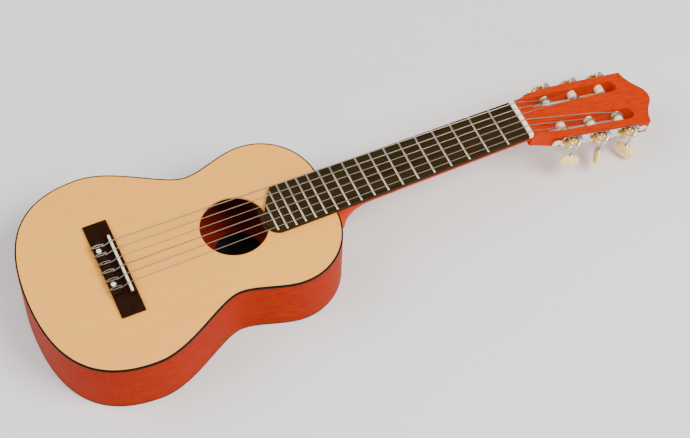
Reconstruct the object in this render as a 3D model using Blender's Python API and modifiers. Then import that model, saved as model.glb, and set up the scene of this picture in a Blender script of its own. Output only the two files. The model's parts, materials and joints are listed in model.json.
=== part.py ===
"""Guitalele: a small six-string guitar, built as separate pieces.

The body lies on its back. X runs from the tail to the head, Y towards the bass side and Z up.
The origin is under the middle of the overall length, on the plane of the back.
All sizes are in metres.
"""
import math

import bmesh
import bpy
import numpy as np
from mathutils import Matrix, Vector

# Gap that neighbouring pieces keep
CLEARANCE = 0.0003

# Scale, neck and overall stations
SCALE_LENGTH = 0.433
FRET_COUNT = 18
BODY_FRET = 12
NECK_PITCH = 0.013
NUT_WIDTH = 0.0476
BOARD_WIDTH_AT_BODY = 0.0520

# Body plan, measured from the tail: station, half width and the reach of the curve's handles
BODY_LENGTH = 0.317
BODY_DEPTH = 0.070
LOWER_BOUT_X = 0.0925
LOWER_BOUT_HALF = 0.1144
WAIST_X = 0.1925
WAIST_HALF = 0.0741
UPPER_BOUT_X = 0.2557
UPPER_BOUT_HALF = 0.0880
NECK_SEAT_HALF = 0.024
TAIL_HANDLE = 0.074
LOWER_HANDLE_IN = 0.0645
LOWER_HANDLE_OUT = 0.037
WAIST_HANDLE_IN = 0.022
WAIST_HANDLE_OUT = 0.0195
UPPER_HANDLE_IN = 0.0225
UPPER_HANDLE_OUT = 0.034
SHOULDER_HANDLE = 0.0355

# Plates, ribs and edge bindings
SOUNDBOARD_THICKNESS = 0.0025
BACK_THICKNESS = 0.0025
RIB_THICKNESS = 0.0019
TOP_BINDING_WIDTH = 0.0016
TOP_BINDING_HEIGHT = 0.0024
BACK_BINDING_WIDTH = 0.0012
BACK_BINDING_HEIGHT = 0.0024
SOUND_HOLE_FROM_NECK = 0.1010
SOUND_HOLE_RADIUS = 0.0345

# Blocks, linings and braces inside the body
TAIL_BLOCK_HALF = 0.030
TAIL_BLOCK_LENGTH = 0.012
NECK_BLOCK_HALF = 0.030
NECK_BLOCK_LENGTH = 0.024
LINING_WIDTH = 0.005
LINING_HEIGHT = 0.011
TOP_BRACES_FROM_NECK = {"upper": 0.0530, "lower": 0.1480, "tail": 0.2650}
TOP_BRACE_WIDTH = 0.006
TOP_BRACE_HEIGHT = 0.012
BACK_BRACES_FROM_NECK = {"upper": 0.0550, "middle": 0.1610, "lower": 0.2510}
BACK_BRACE_WIDTH = 0.007
BACK_BRACE_HEIGHT = 0.010
BRACE_TAPER = 0.026
BRACE_END_HEIGHT = 0.003
PATCH_LENGTH = 0.030
PATCH_WIDTH = 0.130
PATCH_THICKNESS = 0.002
LABEL_HALF_LENGTH = 0.027
LABEL_HALF_WIDTH = 0.035
LABEL_THICKNESS = 0.0003
LABEL_SHIFT = 0.0065

# Neck, heel and head
SHAFT_DEPTH_AT_NUT = 0.0150
SHAFT_DEPTH_AT_HEEL = 0.0165
HEEL_CAP_LENGTH = 0.010
HEEL_SWEEP = 0.026
HEEL_DEPTH = 0.078
HEEL_CAP_HEIGHT = 0.0012
HEEL_TAPER = 1.5
HEAD_ANGLE = math.radians(14.75)
HEAD_FACE_RISE = 0.0045
HEAD_THICKNESS = 0.017
HEAD_LENGTH = 0.160
HEAD_FLARE_LENGTH = 0.040
HEAD_FLARE_HALF = 0.0330
HEAD_EAR_X = 0.1420
HEAD_EAR_HALF = 0.0354
CREST_CUSP_HALF = 0.0104
CREST_DOME = 0.0038
SLOT_START = 0.0220
SLOT_END = 0.1280
SLOT_WIDTH = 0.0145
SLOT_FROM_EDGE = 0.0154
RAMP_START = 0.0095
RAMP_DEPTH = 0.0052
RAMP_WIDTH = 0.0116

# Fretboard, frets and nut
BOARD_THICKNESS = 0.0045
BOARD_BASS_END = 0.0521
BOARD_TREBLE_END = 0.0727
BOARD_APEX_Y = -0.0115
BOARD_TREBLE_CORNER = 0.0580
FRET_WIDTH = 0.0021
FRET_HEIGHT = 0.0009
FRET_TANG = 0.0008
FRET_SHOULDER = 0.0005
FRET_CREST_HALF = 0.0005
FRET_END_GAP = 0.0002
NUT_LENGTH = 0.005
NUT_HEIGHT = 0.0067
NUT_EDGE = 0.0008

# Bridge and saddle, measured back from the saddle's line
COMPENSATION = 0.0036
BRIDGE_WIDTH = 0.1125
BRIDGE_LENGTH = 0.0245
SADDLE_FROM_FRONT = 0.0050
BRIDGE_WING_THICKNESS = 0.0032
BRIDGE_TIP_THICKNESS = 0.0022
SADDLE_BLOCK_LENGTH = 0.0086
SADDLE_BLOCK_HEIGHT = 0.0060
SADDLE_BLOCK_HALF = 0.0360
TIE_BLOCK_LENGTH = 0.0098
TIE_BLOCK_HEIGHT = 0.0072
TIE_BLOCK_HALF = 0.0323
TIE_HOLE_HEIGHT = 0.0042
TIE_HOLE_RADIUS = 0.0009
SADDLE_THICKNESS = 0.0026
SADDLE_HALF = 0.0340
SADDLE_HEIGHT = 0.0086
SADDLE_SLOT_FLOOR = 0.0020
DOT_RADIUS = 0.0025
DOT_THICKNESS = 0.0012
DOT_PROUD = 0.0003

# Strings: name, radius, from the treble side to the bass side
STRING_RADII = (0.00036, 0.00041, 0.00051, 0.00037, 0.00045, 0.00055)
STRING_SPREAD_NUT = 0.0394
STRING_SPREAD_SADDLE = 0.0515
STRING_OVER_FRETS = 0.0006
LOOP_SPREAD = 0.0012
LOOP_REACH = 0.0014
WRAP_TURNS = 2.25
WRAP_STEPS = 10
WRAP_GAP = 0.00048

# Tuning machines, in the frame of the head's side
FIRST_POST = 0.0415
POST_PITCH = 0.0354
POST_DEPTH = 0.0085
ROLLER_RADIUS = 0.00475
ROLLER_IN_WEB = 0.0062
JOURNAL_RADIUS = 0.0026
SPINDLE_RADIUS = 0.0016
STRING_HOLE_RADIUS = 0.0009
PLATE_THICKNESS = 0.0012
PLATE_TOP = 0.0016
PLATE_HEIGHT = 0.0138
PLATE_END = 0.0135
GEAR_TEETH = 14
GEAR_PITCH_RADIUS = 0.0069
GEAR_THICKNESS = 0.0028
ADDENDUM = 0.0007
DEDENDUM = 0.00095
TOOTH_THICKNESS = 0.00115
FLANK_SLOPE = 0.00050
WORM_PITCH_RADIUS = 0.0023
WORM_SHAFT_RADIUS = 0.00135
WORM_TURNS = 2
WORM_TOP = 0.0006
LUG_THICKNESS = 0.0024
LUG_HALF = 0.0026
BUTTON_DEPTH = 0.0375
BUTTON_HALF_LENGTH = 0.0112
BUTTON_HALF_HEIGHT = 0.0080
BUTTON_HALF_THICKNESS = 0.0036
SHAFT_IN_BUTTON = 0.0070
BUTTON_TURNS = {"bass": (20.0, 70.0, -35.0), "treble": (-14.0, 58.0, 118.0)}

# Facets
CURVE_STEPS = (9, 9, 6, 8)
HOLE_SIDES = 48
BORE_SIDES = 12
BARREL_SIDES = 14
STRING_BEVEL_RESOLUTION = 0
HEEL_STEPS = 5
SECTION_STEPS = 12

# Positions that follow from the sizes above
NECK_TILT = math.atan(NECK_PITCH)
HEAD_DROP = HEAD_ANGLE - NECK_TILT
BODY_TO_NUT = SCALE_LENGTH * (1 - 2 ** (-BODY_FRET / 12))
NUT_SEAT = NUT_LENGTH + CLEARANCE
NUT_REACH = (BODY_TO_NUT + NUT_SEAT) * math.cos(NECK_TILT) - HEAD_FACE_RISE * math.sin(NECK_TILT)
OVERALL_LENGTH = BODY_LENGTH + NUT_REACH + HEAD_LENGTH * math.cos(HEAD_DROP)
TAIL_X = -OVERALL_LENGTH / 2
BODY_END_X = TAIL_X + BODY_LENGTH
SOUND_HOLE_X = BODY_LENGTH - SOUND_HOLE_FROM_NECK
TOP_BRACE_STATIONS = {name: BODY_LENGTH - distance for name, distance in TOP_BRACES_FROM_NECK.items()}
BACK_BRACE_STATIONS = {name: BODY_LENGTH - distance for name, distance in BACK_BRACES_FROM_NECK.items()}
BOARD_TOP = CLEARANCE + BOARD_THICKNESS
CROWN = BOARD_TOP + FRET_HEIGHT
NUT_TOP = CLEARANCE + NUT_HEIGHT
SADDLE_FROM_BODY_END = SCALE_LENGTH + COMPENSATION - BODY_TO_NUT
BRIDGE_BACK = BRIDGE_LENGTH - SADDLE_FROM_FRONT
SIDE_TAPER = math.atan2(HEAD_EAR_HALF - HEAD_FLARE_HALF, HEAD_EAR_X - HEAD_FLARE_LENGTH)
LEAD = 2 * math.pi * GEAR_PITCH_RADIUS / GEAR_TEETH
WORM_OFFSET = GEAR_PITCH_RADIUS + WORM_PITCH_RADIUS
WORM_RADIUS = WORM_PITCH_RADIUS + ADDENDUM
GEAR_PLANE = 2 * CLEARANCE + PLATE_THICKNESS + WORM_RADIUS
PLATE_FACE = CLEARANCE + PLATE_THICKNESS
JOURNAL_END = GEAR_PLANE - GEAR_THICKNESS / 2 - CLEARANCE
PLATE_BOTTOM = PLATE_TOP + PLATE_HEIGHT


def start_clean():
    """Remove whatever the scene holds and make the two collections."""
    for item in list(bpy.data.objects):
        bpy.data.objects.remove(item, do_unlink=True)
    parts = bpy.data.collections.new("guitalele")
    cutters = bpy.data.collections.new("cutters")
    bpy.context.scene.collection.children.link(parts)
    bpy.context.scene.collection.children.link(cutters)
    return parts, cutters


PARTS, CUTTERS = start_clean()


def material(name, colour, roughness, metallic=0.0):
    """A Principled material of one colour."""
    made = bpy.data.materials.new(name)
    made.use_nodes = True
    shader = made.node_tree.nodes["Principled BSDF"]
    shader.inputs["Base Color"].default_value = (*colour, 1.0)
    shader.inputs["Roughness"].default_value = roughness
    shader.inputs["Metallic"].default_value = metallic
    made.diffuse_color = (*colour, 1.0)
    return made


SPRUCE = material("spruce", (0.80, 0.56, 0.33), 0.42)
BRACE_SPRUCE = material("brace_spruce", (0.72, 0.55, 0.36), 0.70)
MAHOGANY = material("mahogany", (0.52, 0.10, 0.020), 0.38)
NECK_WOOD = material("neck_mahogany", (0.60, 0.12, 0.018), 0.40)
ROSEWOOD = material("rosewood", (0.050, 0.028, 0.014), 0.50)
BLACK_BINDING = material("black_binding", (0.018, 0.009, 0.006), 0.35)
IVORY = material("ivory_plastic", (0.85, 0.76, 0.60), 0.35)
CREAM = material("cream_plastic", (0.88, 0.74, 0.50), 0.32)
NICKEL = material("nickel", (0.72, 0.70, 0.68), 0.25, 1.0)
FRET_METAL = material("nickel_silver", (0.75, 0.72, 0.62), 0.28, 1.0)
BRASS = material("brass", (0.72, 0.46, 0.14), 0.28, 1.0)
NYLON = material("nylon", (0.74, 0.72, 0.70), 0.30)
SILVER_WOUND = material("silvered_wire", (0.62, 0.62, 0.62), 0.35, 1.0)
LABEL_PAPER = material("label_paper", (0.015, 0.015, 0.018), 0.60)


def frame(name, location, rotation=(0.0, 0.0, 0.0), parent=None):
    """An empty that carries pieces, and its matrix in the world."""
    empty = bpy.data.objects.new(name, None)
    empty.empty_display_size = 0.01
    PARTS.objects.link(empty)
    empty.location = location
    empty.rotation_euler = rotation
    own = Matrix.LocRotScale(Vector(location), empty.rotation_euler, None)
    if parent is None:
        return empty, own
    empty.parent = parent[0]
    return empty, parent[1] @ own


def add(name, mesh, finish, parent=None, location=(0, 0, 0), rotation=(0, 0, 0)):
    """Link a mesh as a named piece under a frame."""
    piece = bpy.data.objects.new(name, mesh)
    PARTS.objects.link(piece)
    piece.data.materials.clear()
    piece.data.materials.append(finish)
    place(piece, parent, location, rotation)
    return piece


def place(piece, parent, location=(0, 0, 0), rotation=(0, 0, 0)):
    """Set where a piece stands in its frame."""
    if parent is not None:
        piece.parent = parent[0]
    piece.location = location
    piece.rotation_euler = rotation


def cutter(mesh, parent=None, location=(0, 0, 0), rotation=(0, 0, 0), name="cutter"):
    """A hidden mesh that only cuts or joins."""
    tool = bpy.data.objects.new(name, mesh)
    CUTTERS.objects.link(tool)
    tool.hide_render = True
    tool.display_type = "WIRE"
    place(tool, parent, location, rotation)
    return tool


def combine(piece, tool, operation="DIFFERENCE"):
    """Cut a piece with a tool, or join the tool to it."""
    step = piece.modifiers.new(operation.lower(), "BOOLEAN")
    step.operation = operation
    step.solver = "EXACT"
    step.object = tool


def settled(piece):
    """The piece's own evaluated mesh, welded, as a new mesh."""
    bpy.context.view_layer.update()
    evaluated = piece.evaluated_get(bpy.context.evaluated_depsgraph_get())
    mesh = bpy.data.meshes.new_from_object(evaluated)
    weld(mesh)
    return mesh


def weld(mesh, fill=False):
    """Merge doubles, close open ends when asked, and turn the faces outwards."""
    work = bmesh.new()
    work.from_mesh(mesh)
    bmesh.ops.remove_doubles(work, verts=work.verts, dist=0.000001)
    if fill:
        bmesh.ops.holes_fill(work, edges=[e for e in work.edges if e.is_boundary], sides=0)
    bmesh.ops.recalc_face_normals(work, faces=work.faces)
    work.to_mesh(mesh)
    work.free()


def soften(mesh, angle=35.0):
    """Smooth shading with sharp edges kept."""
    mesh.shade_smooth()
    mesh.set_sharp_from_angle(angle=math.radians(angle))


def plate_mesh(name, loops, low, high):
    """A flat outline with holes, from height low to height high."""
    curve = bpy.data.curves.new(name, "CURVE")
    curve.dimensions = "2D"
    curve.fill_mode = "BOTH"
    curve.extrude = (high - low) / 2
    for loop in loops:
        spline = curve.splines.new("POLY")
        spline.points.add(len(loop) - 1)
        for point, (x, y) in zip(spline.points, loop):
            point.co = (x, y, 0.0, 1.0)
        spline.use_cyclic_u = True
    holder = bpy.data.objects.new(name, curve)
    CUTTERS.objects.link(holder)
    mesh = settled(holder)
    bpy.data.objects.remove(holder)
    bpy.data.curves.remove(curve)
    mesh.transform(Matrix.Translation((0, 0, (high + low) / 2)))
    return mesh


def box_mesh(size, centre=(0, 0, 0)):
    """A box of a size about a centre."""
    mesh = bpy.data.meshes.new("box")
    work = bmesh.new()
    bmesh.ops.create_cube(work, size=1.0)
    bmesh.ops.scale(work, vec=size, verts=work.verts)
    bmesh.ops.translate(work, vec=centre, verts=work.verts)
    work.to_mesh(mesh)
    work.free()
    return mesh


def rod_mesh(radius, low, high, sides=BORE_SIDES, axis="Z"):
    """A cylinder along an axis, from low to high."""
    mesh = bpy.data.meshes.new("rod")
    work = bmesh.new()
    bmesh.ops.create_cone(work, cap_ends=True, segments=sides, radius1=radius, radius2=radius,
                          depth=high - low)
    bmesh.ops.translate(work, vec=(0, 0, (high + low) / 2), verts=work.verts)
    work.to_mesh(mesh)
    work.free()
    if axis == "Y":
        mesh.transform(Matrix.Rotation(math.radians(-90), 4, "X"))
    if axis == "X":
        mesh.transform(Matrix.Rotation(math.radians(90), 4, "Y"))
    return mesh


def turned_mesh(name, profile, steps=BARREL_SIDES):
    """A profile of (radius, height) from top to bottom, turned about Z."""
    mesh = bpy.data.meshes.new(name)
    points = [(radius, 0.0, height) for radius, height in profile]
    mesh.from_pydata(points, [(i, i + 1) for i in range(len(points) - 1)], [])
    holder = bpy.data.objects.new(name, mesh)
    CUTTERS.objects.link(holder)
    turn = holder.modifiers.new("turn", "SCREW")
    turn.axis = "Z"
    turn.angle = 2 * math.pi
    turn.steps = steps
    turn.render_steps = steps
    turn.use_merge_vertices = True
    turn.merge_threshold = 0.00001
    result = settled(holder)
    bpy.data.objects.remove(holder)
    return result


def loft_mesh(name, rings):
    """Skin closed rings of equal point counts and close both ends."""
    mesh = bpy.data.meshes.new(name)
    work = bmesh.new()
    rows = [[work.verts.new(point) for point in ring] for ring in rings]
    for lower, upper in zip(rows, rows[1:]):
        for i in range(len(lower)):
            j = (i + 1) % len(lower)
            work.faces.new((lower[i], lower[j], upper[j], upper[i]))
    work.faces.new(rows[0])
    work.faces.new(rows[-1])
    bmesh.ops.recalc_face_normals(work, faces=work.faces)
    work.to_mesh(mesh)
    work.free()
    return mesh


def joined_mesh(meshes):
    """Several meshes as one."""
    work = bmesh.new()
    for mesh in meshes:
        work.from_mesh(mesh)
    result = bpy.data.meshes.new("joined")
    work.to_mesh(result)
    work.free()
    return result


def circle(centre_x, centre_y, radius_x, radius_y=None, sides=HOLE_SIDES):
    """Points round a circle or an ellipse."""
    turn = np.linspace(0, 2 * math.pi, sides, endpoint=False)
    radius_y = radius_x if radius_y is None else radius_y
    return np.stack([centre_x + radius_x * np.cos(turn), centre_y + radius_y * np.sin(turn)], axis=1)


def bezier(start, first, second, end, steps):
    """Points along a cubic curve, without its last point."""
    t = np.linspace(0, 1, steps, endpoint=False)[:, None]
    start, first, second, end = (np.array(p, float) for p in (start, first, second, end))
    return (1 - t) ** 3 * start + 3 * (1 - t) ** 2 * t * first + 3 * (1 - t) * t ** 2 * second + t ** 3 * end


def half_outline(inset=0.0):
    """The body's bass half from the tail to the neck seat, moved inwards by inset."""
    neck = BODY_LENGTH
    stretches = [
        bezier((0, 0), (0, TAIL_HANDLE), (LOWER_BOUT_X - LOWER_HANDLE_IN, LOWER_BOUT_HALF),
               (LOWER_BOUT_X, LOWER_BOUT_HALF), CURVE_STEPS[0]),
        bezier((LOWER_BOUT_X, LOWER_BOUT_HALF), (LOWER_BOUT_X + LOWER_HANDLE_OUT, LOWER_BOUT_HALF),
               (WAIST_X - WAIST_HANDLE_IN, WAIST_HALF), (WAIST_X, WAIST_HALF), CURVE_STEPS[1]),
        bezier((WAIST_X, WAIST_HALF), (WAIST_X + WAIST_HANDLE_OUT, WAIST_HALF),
               (UPPER_BOUT_X - UPPER_HANDLE_IN, UPPER_BOUT_HALF), (UPPER_BOUT_X, UPPER_BOUT_HALF),
               CURVE_STEPS[2]),
        bezier((UPPER_BOUT_X, UPPER_BOUT_HALF), (UPPER_BOUT_X + UPPER_HANDLE_OUT, UPPER_BOUT_HALF),
               (neck, NECK_SEAT_HALF + SHOULDER_HANDLE), (neck, NECK_SEAT_HALF), CURVE_STEPS[3]),
        np.array([(neck, NECK_SEAT_HALF), (neck, 0.0)]),
    ]
    points = np.vstack(stretches)
    along = np.gradient(points, axis=0)
    along[0] = (0, 1)
    along[-2:] = (0, -1)
    along /= np.linalg.norm(along, axis=1)[:, None]
    return points + inset * np.stack([along[:, 1], -along[:, 0]], axis=1)


def whole_outline(inset=0.0):
    """The body's outline as one loop, moved inwards by inset."""
    half = half_outline(inset)
    return np.vstack([half, half[-2:0:-1] * (1, -1)])


def clipped(points, tail_stop, neck_stop):
    """A half outline without what lies nearer the centreline than its two stops."""
    x, y = points[:, 0], points[:, 1]
    widest = int(np.argmax(y))
    first = int(np.argmax(y > tail_stop))
    last = len(y) - 1 - int(np.argmax(y[::-1] > neck_stop))
    start = np.interp(tail_stop, y[:widest + 1], x[:widest + 1])
    tail_end = np.interp(neck_stop, (y[last + 1], y[last]), (x[last + 1], x[last]))
    return np.vstack([(start, tail_stop), points[first:last + 1], (tail_end, neck_stop)])


def strip(outer_inset, inner_inset, tail_stop, neck_stop):
    """A closed band between two insets of the half outline."""
    outer = clipped(half_outline(outer_inset), tail_stop, neck_stop)
    inner = clipped(half_outline(inner_inset), tail_stop, neck_stop)
    return np.vstack([outer, inner[::-1]])


def half_width(x, inset=0.0):
    """Half the body's width at a distance from the tail."""
    points = half_outline(inset)
    return float(np.interp(x, points[:, 0], points[:, 1]))


def block_outline(at_tail, half, length):
    """A block's plan: the ribs' inner curve outside and a flat face inside."""
    points = half_outline(RIB_THICKNESS + CLEARANCE)
    if at_tail:
        run = points[points[:, 0] < LOWER_BOUT_X]
    else:
        run = points[points[:, 0] > UPPER_BOUT_X][::-1]
    corner = (np.interp(half, run[:, 1], run[:, 0]), half)
    face = run[0, 0] + (length if at_tail else -length)
    side = np.vstack([run[run[:, 1] < half], corner, (face, half)])
    return np.vstack([side, side[:0:-1] * (1, -1)])


def build_body(body):
    """Plates, ribs, bindings, blocks, linings, braces, patch and label."""
    top = BODY_DEPTH
    under_top = top - SOUNDBOARD_THICKNESS - CLEARANCE
    over_back = BACK_THICKNESS + CLEARANCE
    hole = circle(SOUND_HOLE_X, 0.0, SOUND_HOLE_RADIUS)
    board = whole_outline(TOP_BINDING_WIDTH + CLEARANCE)
    add("soundboard", plate_mesh("soundboard", [board, hole], top - SOUNDBOARD_THICKNESS, top), SPRUCE, body)
    back = whole_outline(BACK_BINDING_WIDTH + CLEARANCE)
    add("back_plate", plate_mesh("back_plate", [back], 0.0, BACK_THICKNESS), MAHOGANY, body)
    edge = whole_outline()
    inner = whole_outline(TOP_BINDING_WIDTH)
    add("top_binding", plate_mesh("top_binding", [edge, inner], top - TOP_BINDING_HEIGHT, top),
        BLACK_BINDING, body)
    inner = whole_outline(BACK_BINDING_WIDTH)
    add("back_binding", plate_mesh("back_binding", [edge, inner], 0.0, BACK_BINDING_HEIGHT),
        BLACK_BINDING, body)

    seam = CLEARANCE / 2
    rib = strip(0.0, RIB_THICKNESS, seam, seam)
    rib_low = max(BACK_BINDING_HEIGHT, BACK_THICKNESS) + CLEARANCE
    rib_high = top - max(TOP_BINDING_HEIGHT, SOUNDBOARD_THICKNESS) - CLEARANCE
    lining_outer = RIB_THICKNESS + CLEARANCE
    lining = strip(lining_outer, lining_outer + LINING_WIDTH, TAIL_BLOCK_HALF + CLEARANCE,
                   NECK_BLOCK_HALF + CLEARANCE)
    for side, sign in (("bass", 1), ("treble", -1)):
        mirror = (1, sign)
        add(f"rib_{side}", plate_mesh("rib", [rib * mirror], rib_low, rib_high), MAHOGANY, body)
        add(f"top_lining_{side}", plate_mesh("lining", [lining * mirror], under_top - LINING_HEIGHT, under_top),
            BRACE_SPRUCE, body)
        add(f"back_lining_{side}", plate_mesh("lining", [lining * mirror], over_back, over_back + LINING_HEIGHT),
            BRACE_SPRUCE, body)
    for name, at_tail, half, length in (("tail_block", True, TAIL_BLOCK_HALF, TAIL_BLOCK_LENGTH),
                                        ("neck_block", False, NECK_BLOCK_HALF, NECK_BLOCK_LENGTH)):
        plan = block_outline(at_tail, half, length)
        add(name, plate_mesh(name, [plan], over_back, under_top), MAHOGANY, body)

    for name, x in TOP_BRACE_STATIONS.items():
        add_brace(f"top_brace_{name}", body, x, TOP_BRACE_WIDTH, -TOP_BRACE_HEIGHT, under_top)
    for name, x in BACK_BRACE_STATIONS.items():
        add_brace(f"back_brace_{name}", body, x, BACK_BRACE_WIDTH, BACK_BRACE_HEIGHT, over_back)
    bridge_middle = BODY_LENGTH - SADDLE_FROM_BODY_END + SADDLE_FROM_FRONT - BRIDGE_LENGTH / 2
    add("bridge_patch", box_mesh((PATCH_LENGTH, PATCH_WIDTH, PATCH_THICKNESS)), BRACE_SPRUCE, body,
        (bridge_middle, 0, under_top - PATCH_THICKNESS / 2))
    label = circle(SOUND_HOLE_X + LABEL_SHIFT, 0.0, LABEL_HALF_LENGTH, LABEL_HALF_WIDTH, 40)
    add("label", plate_mesh("label", [label], over_back, over_back + LABEL_THICKNESS), LABEL_PAPER, body)


def add_brace(name, body, x, width, height, seat):
    """A bar across a plate, from rib lining to rib lining, with its ends worked down."""
    inset = RIB_THICKNESS + CLEARANCE + LINING_WIDTH
    half = min(half_width(x - width / 2, inset), half_width(x + width / 2, inset)) - CLEARANCE
    end = math.copysign(BRACE_END_HEIGHT, height)
    low, high = sorted((0.0, end))
    profile = [(-half, 0), (half, 0), (half, end), (half - BRACE_TAPER, height),
               (-half + BRACE_TAPER, height), (-half, end)]
    mesh = plate_mesh(name, [profile], -width / 2, width / 2)
    add(name, mesh, BRACE_SPRUCE, body, (x, 0, seat), (math.radians(90), 0, math.radians(90)))


def board_half(x):
    """Half the fretboard's width at a distance from the body's end towards the nut."""
    slope = (BOARD_WIDTH_AT_BODY - NUT_WIDTH) / 2 / BODY_TO_NUT
    return BOARD_WIDTH_AT_BODY / 2 - slope * x


def board_end():
    """The board's curved end over the body, from its bass corner to its treble edge."""
    bass = (-BOARD_BASS_END, board_half(-BOARD_BASS_END))
    apex = (-BOARD_TREBLE_END, BOARD_APEX_Y)
    treble = (-BOARD_TREBLE_CORNER, -board_half(-BOARD_TREBLE_CORNER))
    sweep = bezier(bass, (bass[0] - 0.006, bass[1] - 0.010), (apex[0] + 0.001, apex[1] + 0.011), apex, 7)
    turn = bezier(apex, (apex[0] - 0.0004, apex[1] - 0.0085), (treble[0] - 0.0085, treble[1]), treble, 6)
    return np.vstack([sweep, turn, treble])


def fret_position(number):
    """A fret's distance from the body's end, towards the nut."""
    return BODY_TO_NUT - SCALE_LENGTH * (1 - 2 ** (-number / 12))


def section(x, half, depth, taper, floor):
    """One D-shaped ring of the neck: flat above, round below, cut off at a floor."""
    turn = np.linspace(0, math.pi, SECTION_STEPS + 1)
    y = half * np.sign(np.cos(turn)) * np.abs(np.cos(turn)) ** taper
    z = -np.minimum(depth * np.sin(turn), floor)
    return [Vector((x, a, b)) for a, b in zip(y, z)]


def neck_sections():
    """Rings from inside the body's end, over the heel and along the shaft, into the head."""
    floor = BODY_DEPTH - HEEL_CAP_HEIGHT
    rings = [section(x, board_half(x), HEEL_DEPTH, HEEL_TAPER, floor) for x in (-0.003, HEEL_CAP_LENGTH)]
    for step in range(1, HEEL_STEPS + 1):
        u = 1 - math.cos(math.pi / 2 * step / HEEL_STEPS)
        drop = 1 - math.sqrt(1 - (1 - u) ** 2)
        x = HEEL_CAP_LENGTH + HEEL_SWEEP * u
        depth = SHAFT_DEPTH_AT_HEEL + (HEEL_DEPTH - SHAFT_DEPTH_AT_HEEL) * drop
        taper = 1 + (HEEL_TAPER - 1) * drop
        rings.append(section(x, board_half(x), depth, taper, floor))
    start = HEEL_CAP_LENGTH + HEEL_SWEEP
    for x, depth in ((BODY_TO_NUT, SHAFT_DEPTH_AT_NUT), (BODY_TO_NUT + NUT_SEAT + 0.011, SHAFT_DEPTH_AT_NUT)):
        rings.append(section(x, NUT_WIDTH / 2, depth, 1.0, floor))
    return rings


def head_outline():
    """The head's plan from the nut to the crest, both halves."""
    nut = NUT_WIDTH / 2
    flare = bezier((0, nut), (0.010, nut + 0.0012), (HEAD_FLARE_LENGTH - 0.016, HEAD_FLARE_HALF - 0.0022),
                   (HEAD_FLARE_LENGTH, HEAD_FLARE_HALF), 6)
    cusp = (HEAD_LENGTH - CREST_DOME, CREST_CUSP_HALF)
    ear = (HEAD_EAR_X, HEAD_EAR_HALF)
    scallop = bezier(ear, (ear[0] + 0.0018, ear[1] - 0.0105), (cusp[0] - 0.0080, cusp[1] + 0.0085), cusp, 6)
    radius = (CREST_CUSP_HALF ** 2 + CREST_DOME ** 2) / (2 * CREST_DOME)
    swing = math.asin(CREST_CUSP_HALF / radius)
    angles = np.linspace(swing, 0.0, 4)
    dome = np.stack([HEAD_LENGTH - radius + radius * np.cos(angles), radius * np.sin(angles)], axis=1)
    half = np.vstack([flare, [(HEAD_FLARE_LENGTH, HEAD_FLARE_HALF)], scallop, dome])
    return np.vstack([half, half[-2::-1] * (1, -1)])


def side_edge(x):
    """Half the head's width at a distance from the nut, on its straight sides."""
    return HEAD_FLARE_HALF + math.tan(SIDE_TAPER) * (x - HEAD_FLARE_LENGTH)


def slot_outline(sign):
    """A round-ended slot beside the head's edge, as a loop in the side's frame."""
    radius = SLOT_WIDTH / 2
    first = sign * (SLOT_START + radius - FIRST_POST)
    last = sign * (SLOT_END - radius - FIRST_POST)
    angles = np.linspace(-math.pi / 2, math.pi / 2, 7)
    right = np.stack([radius * np.cos(angles), radius * np.sin(angles)], axis=1)
    ends = np.vstack([right + (max(first, last), 0), -right + (min(first, last), 0)])
    return ends - (0, SLOT_FROM_EDGE)


def build_neck(neck, head, sides):
    """Neck, heel and slotted head as one piece of wood, with its bores and ramps."""
    piece = add("neck", loft_mesh("neck", neck_sections()), NECK_WOOD, neck)
    outline = head_outline()
    combine(piece, cutter(plate_mesh("head", [outline], -HEAD_THICKNESS, 0.0), head, name="head_plate"), "UNION")
    seat = box_mesh((NUT_SEAT + CLEARANCE, 2 * NUT_WIDTH, 0.030), (BODY_TO_NUT + NUT_SEAT / 2, 0, 0.015))
    combine(piece, cutter(seat, neck, name="nut_seat"))
    for sign, side in ((1, sides["bass"]), (-1, sides["treble"])):
        slot = plate_mesh("slot", [slot_outline(sign)], -HEAD_THICKNESS - 0.01, 0.01)
        combine(piece, cutter(slot, side, name="head_slot"))
        start = RAMP_START - FIRST_POST
        end = SLOT_START + SLOT_WIDTH / 2 - FIRST_POST
        profile = [(sign * start, 0.002), (sign * end, 0.002), (sign * end, -RAMP_DEPTH),
                   (sign * (end - SLOT_WIDTH / 2), -RAMP_DEPTH), (sign * start, 0.0)]
        ramp = plate_mesh("ramp", [profile], -RAMP_WIDTH / 2, RAMP_WIDTH / 2)
        combine(piece, cutter(ramp, side, (0, -SLOT_FROM_EDGE, 0), (math.radians(90), 0, 0), "string_ramp"))
        reach = SLOT_FROM_EDGE + SLOT_WIDTH / 2 + ROLLER_IN_WEB + CLEARANCE
        for number in range(3):
            bore = rod_mesh(ROLLER_RADIUS + CLEARANCE, -reach, 0.004, BARREL_SIDES, "Y")
            combine(piece, cutter(bore, side, (sign * number * POST_PITCH, 0, -POST_DEPTH), name="post_bore"))
    room = plate_mesh("body_room", [whole_outline(-CLEARANCE)], -0.01, BODY_DEPTH + 0.02)
    combine(piece, cutter(room, None, (TAIL_X, 0, 0), name="body_room"))
    return piece


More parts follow.
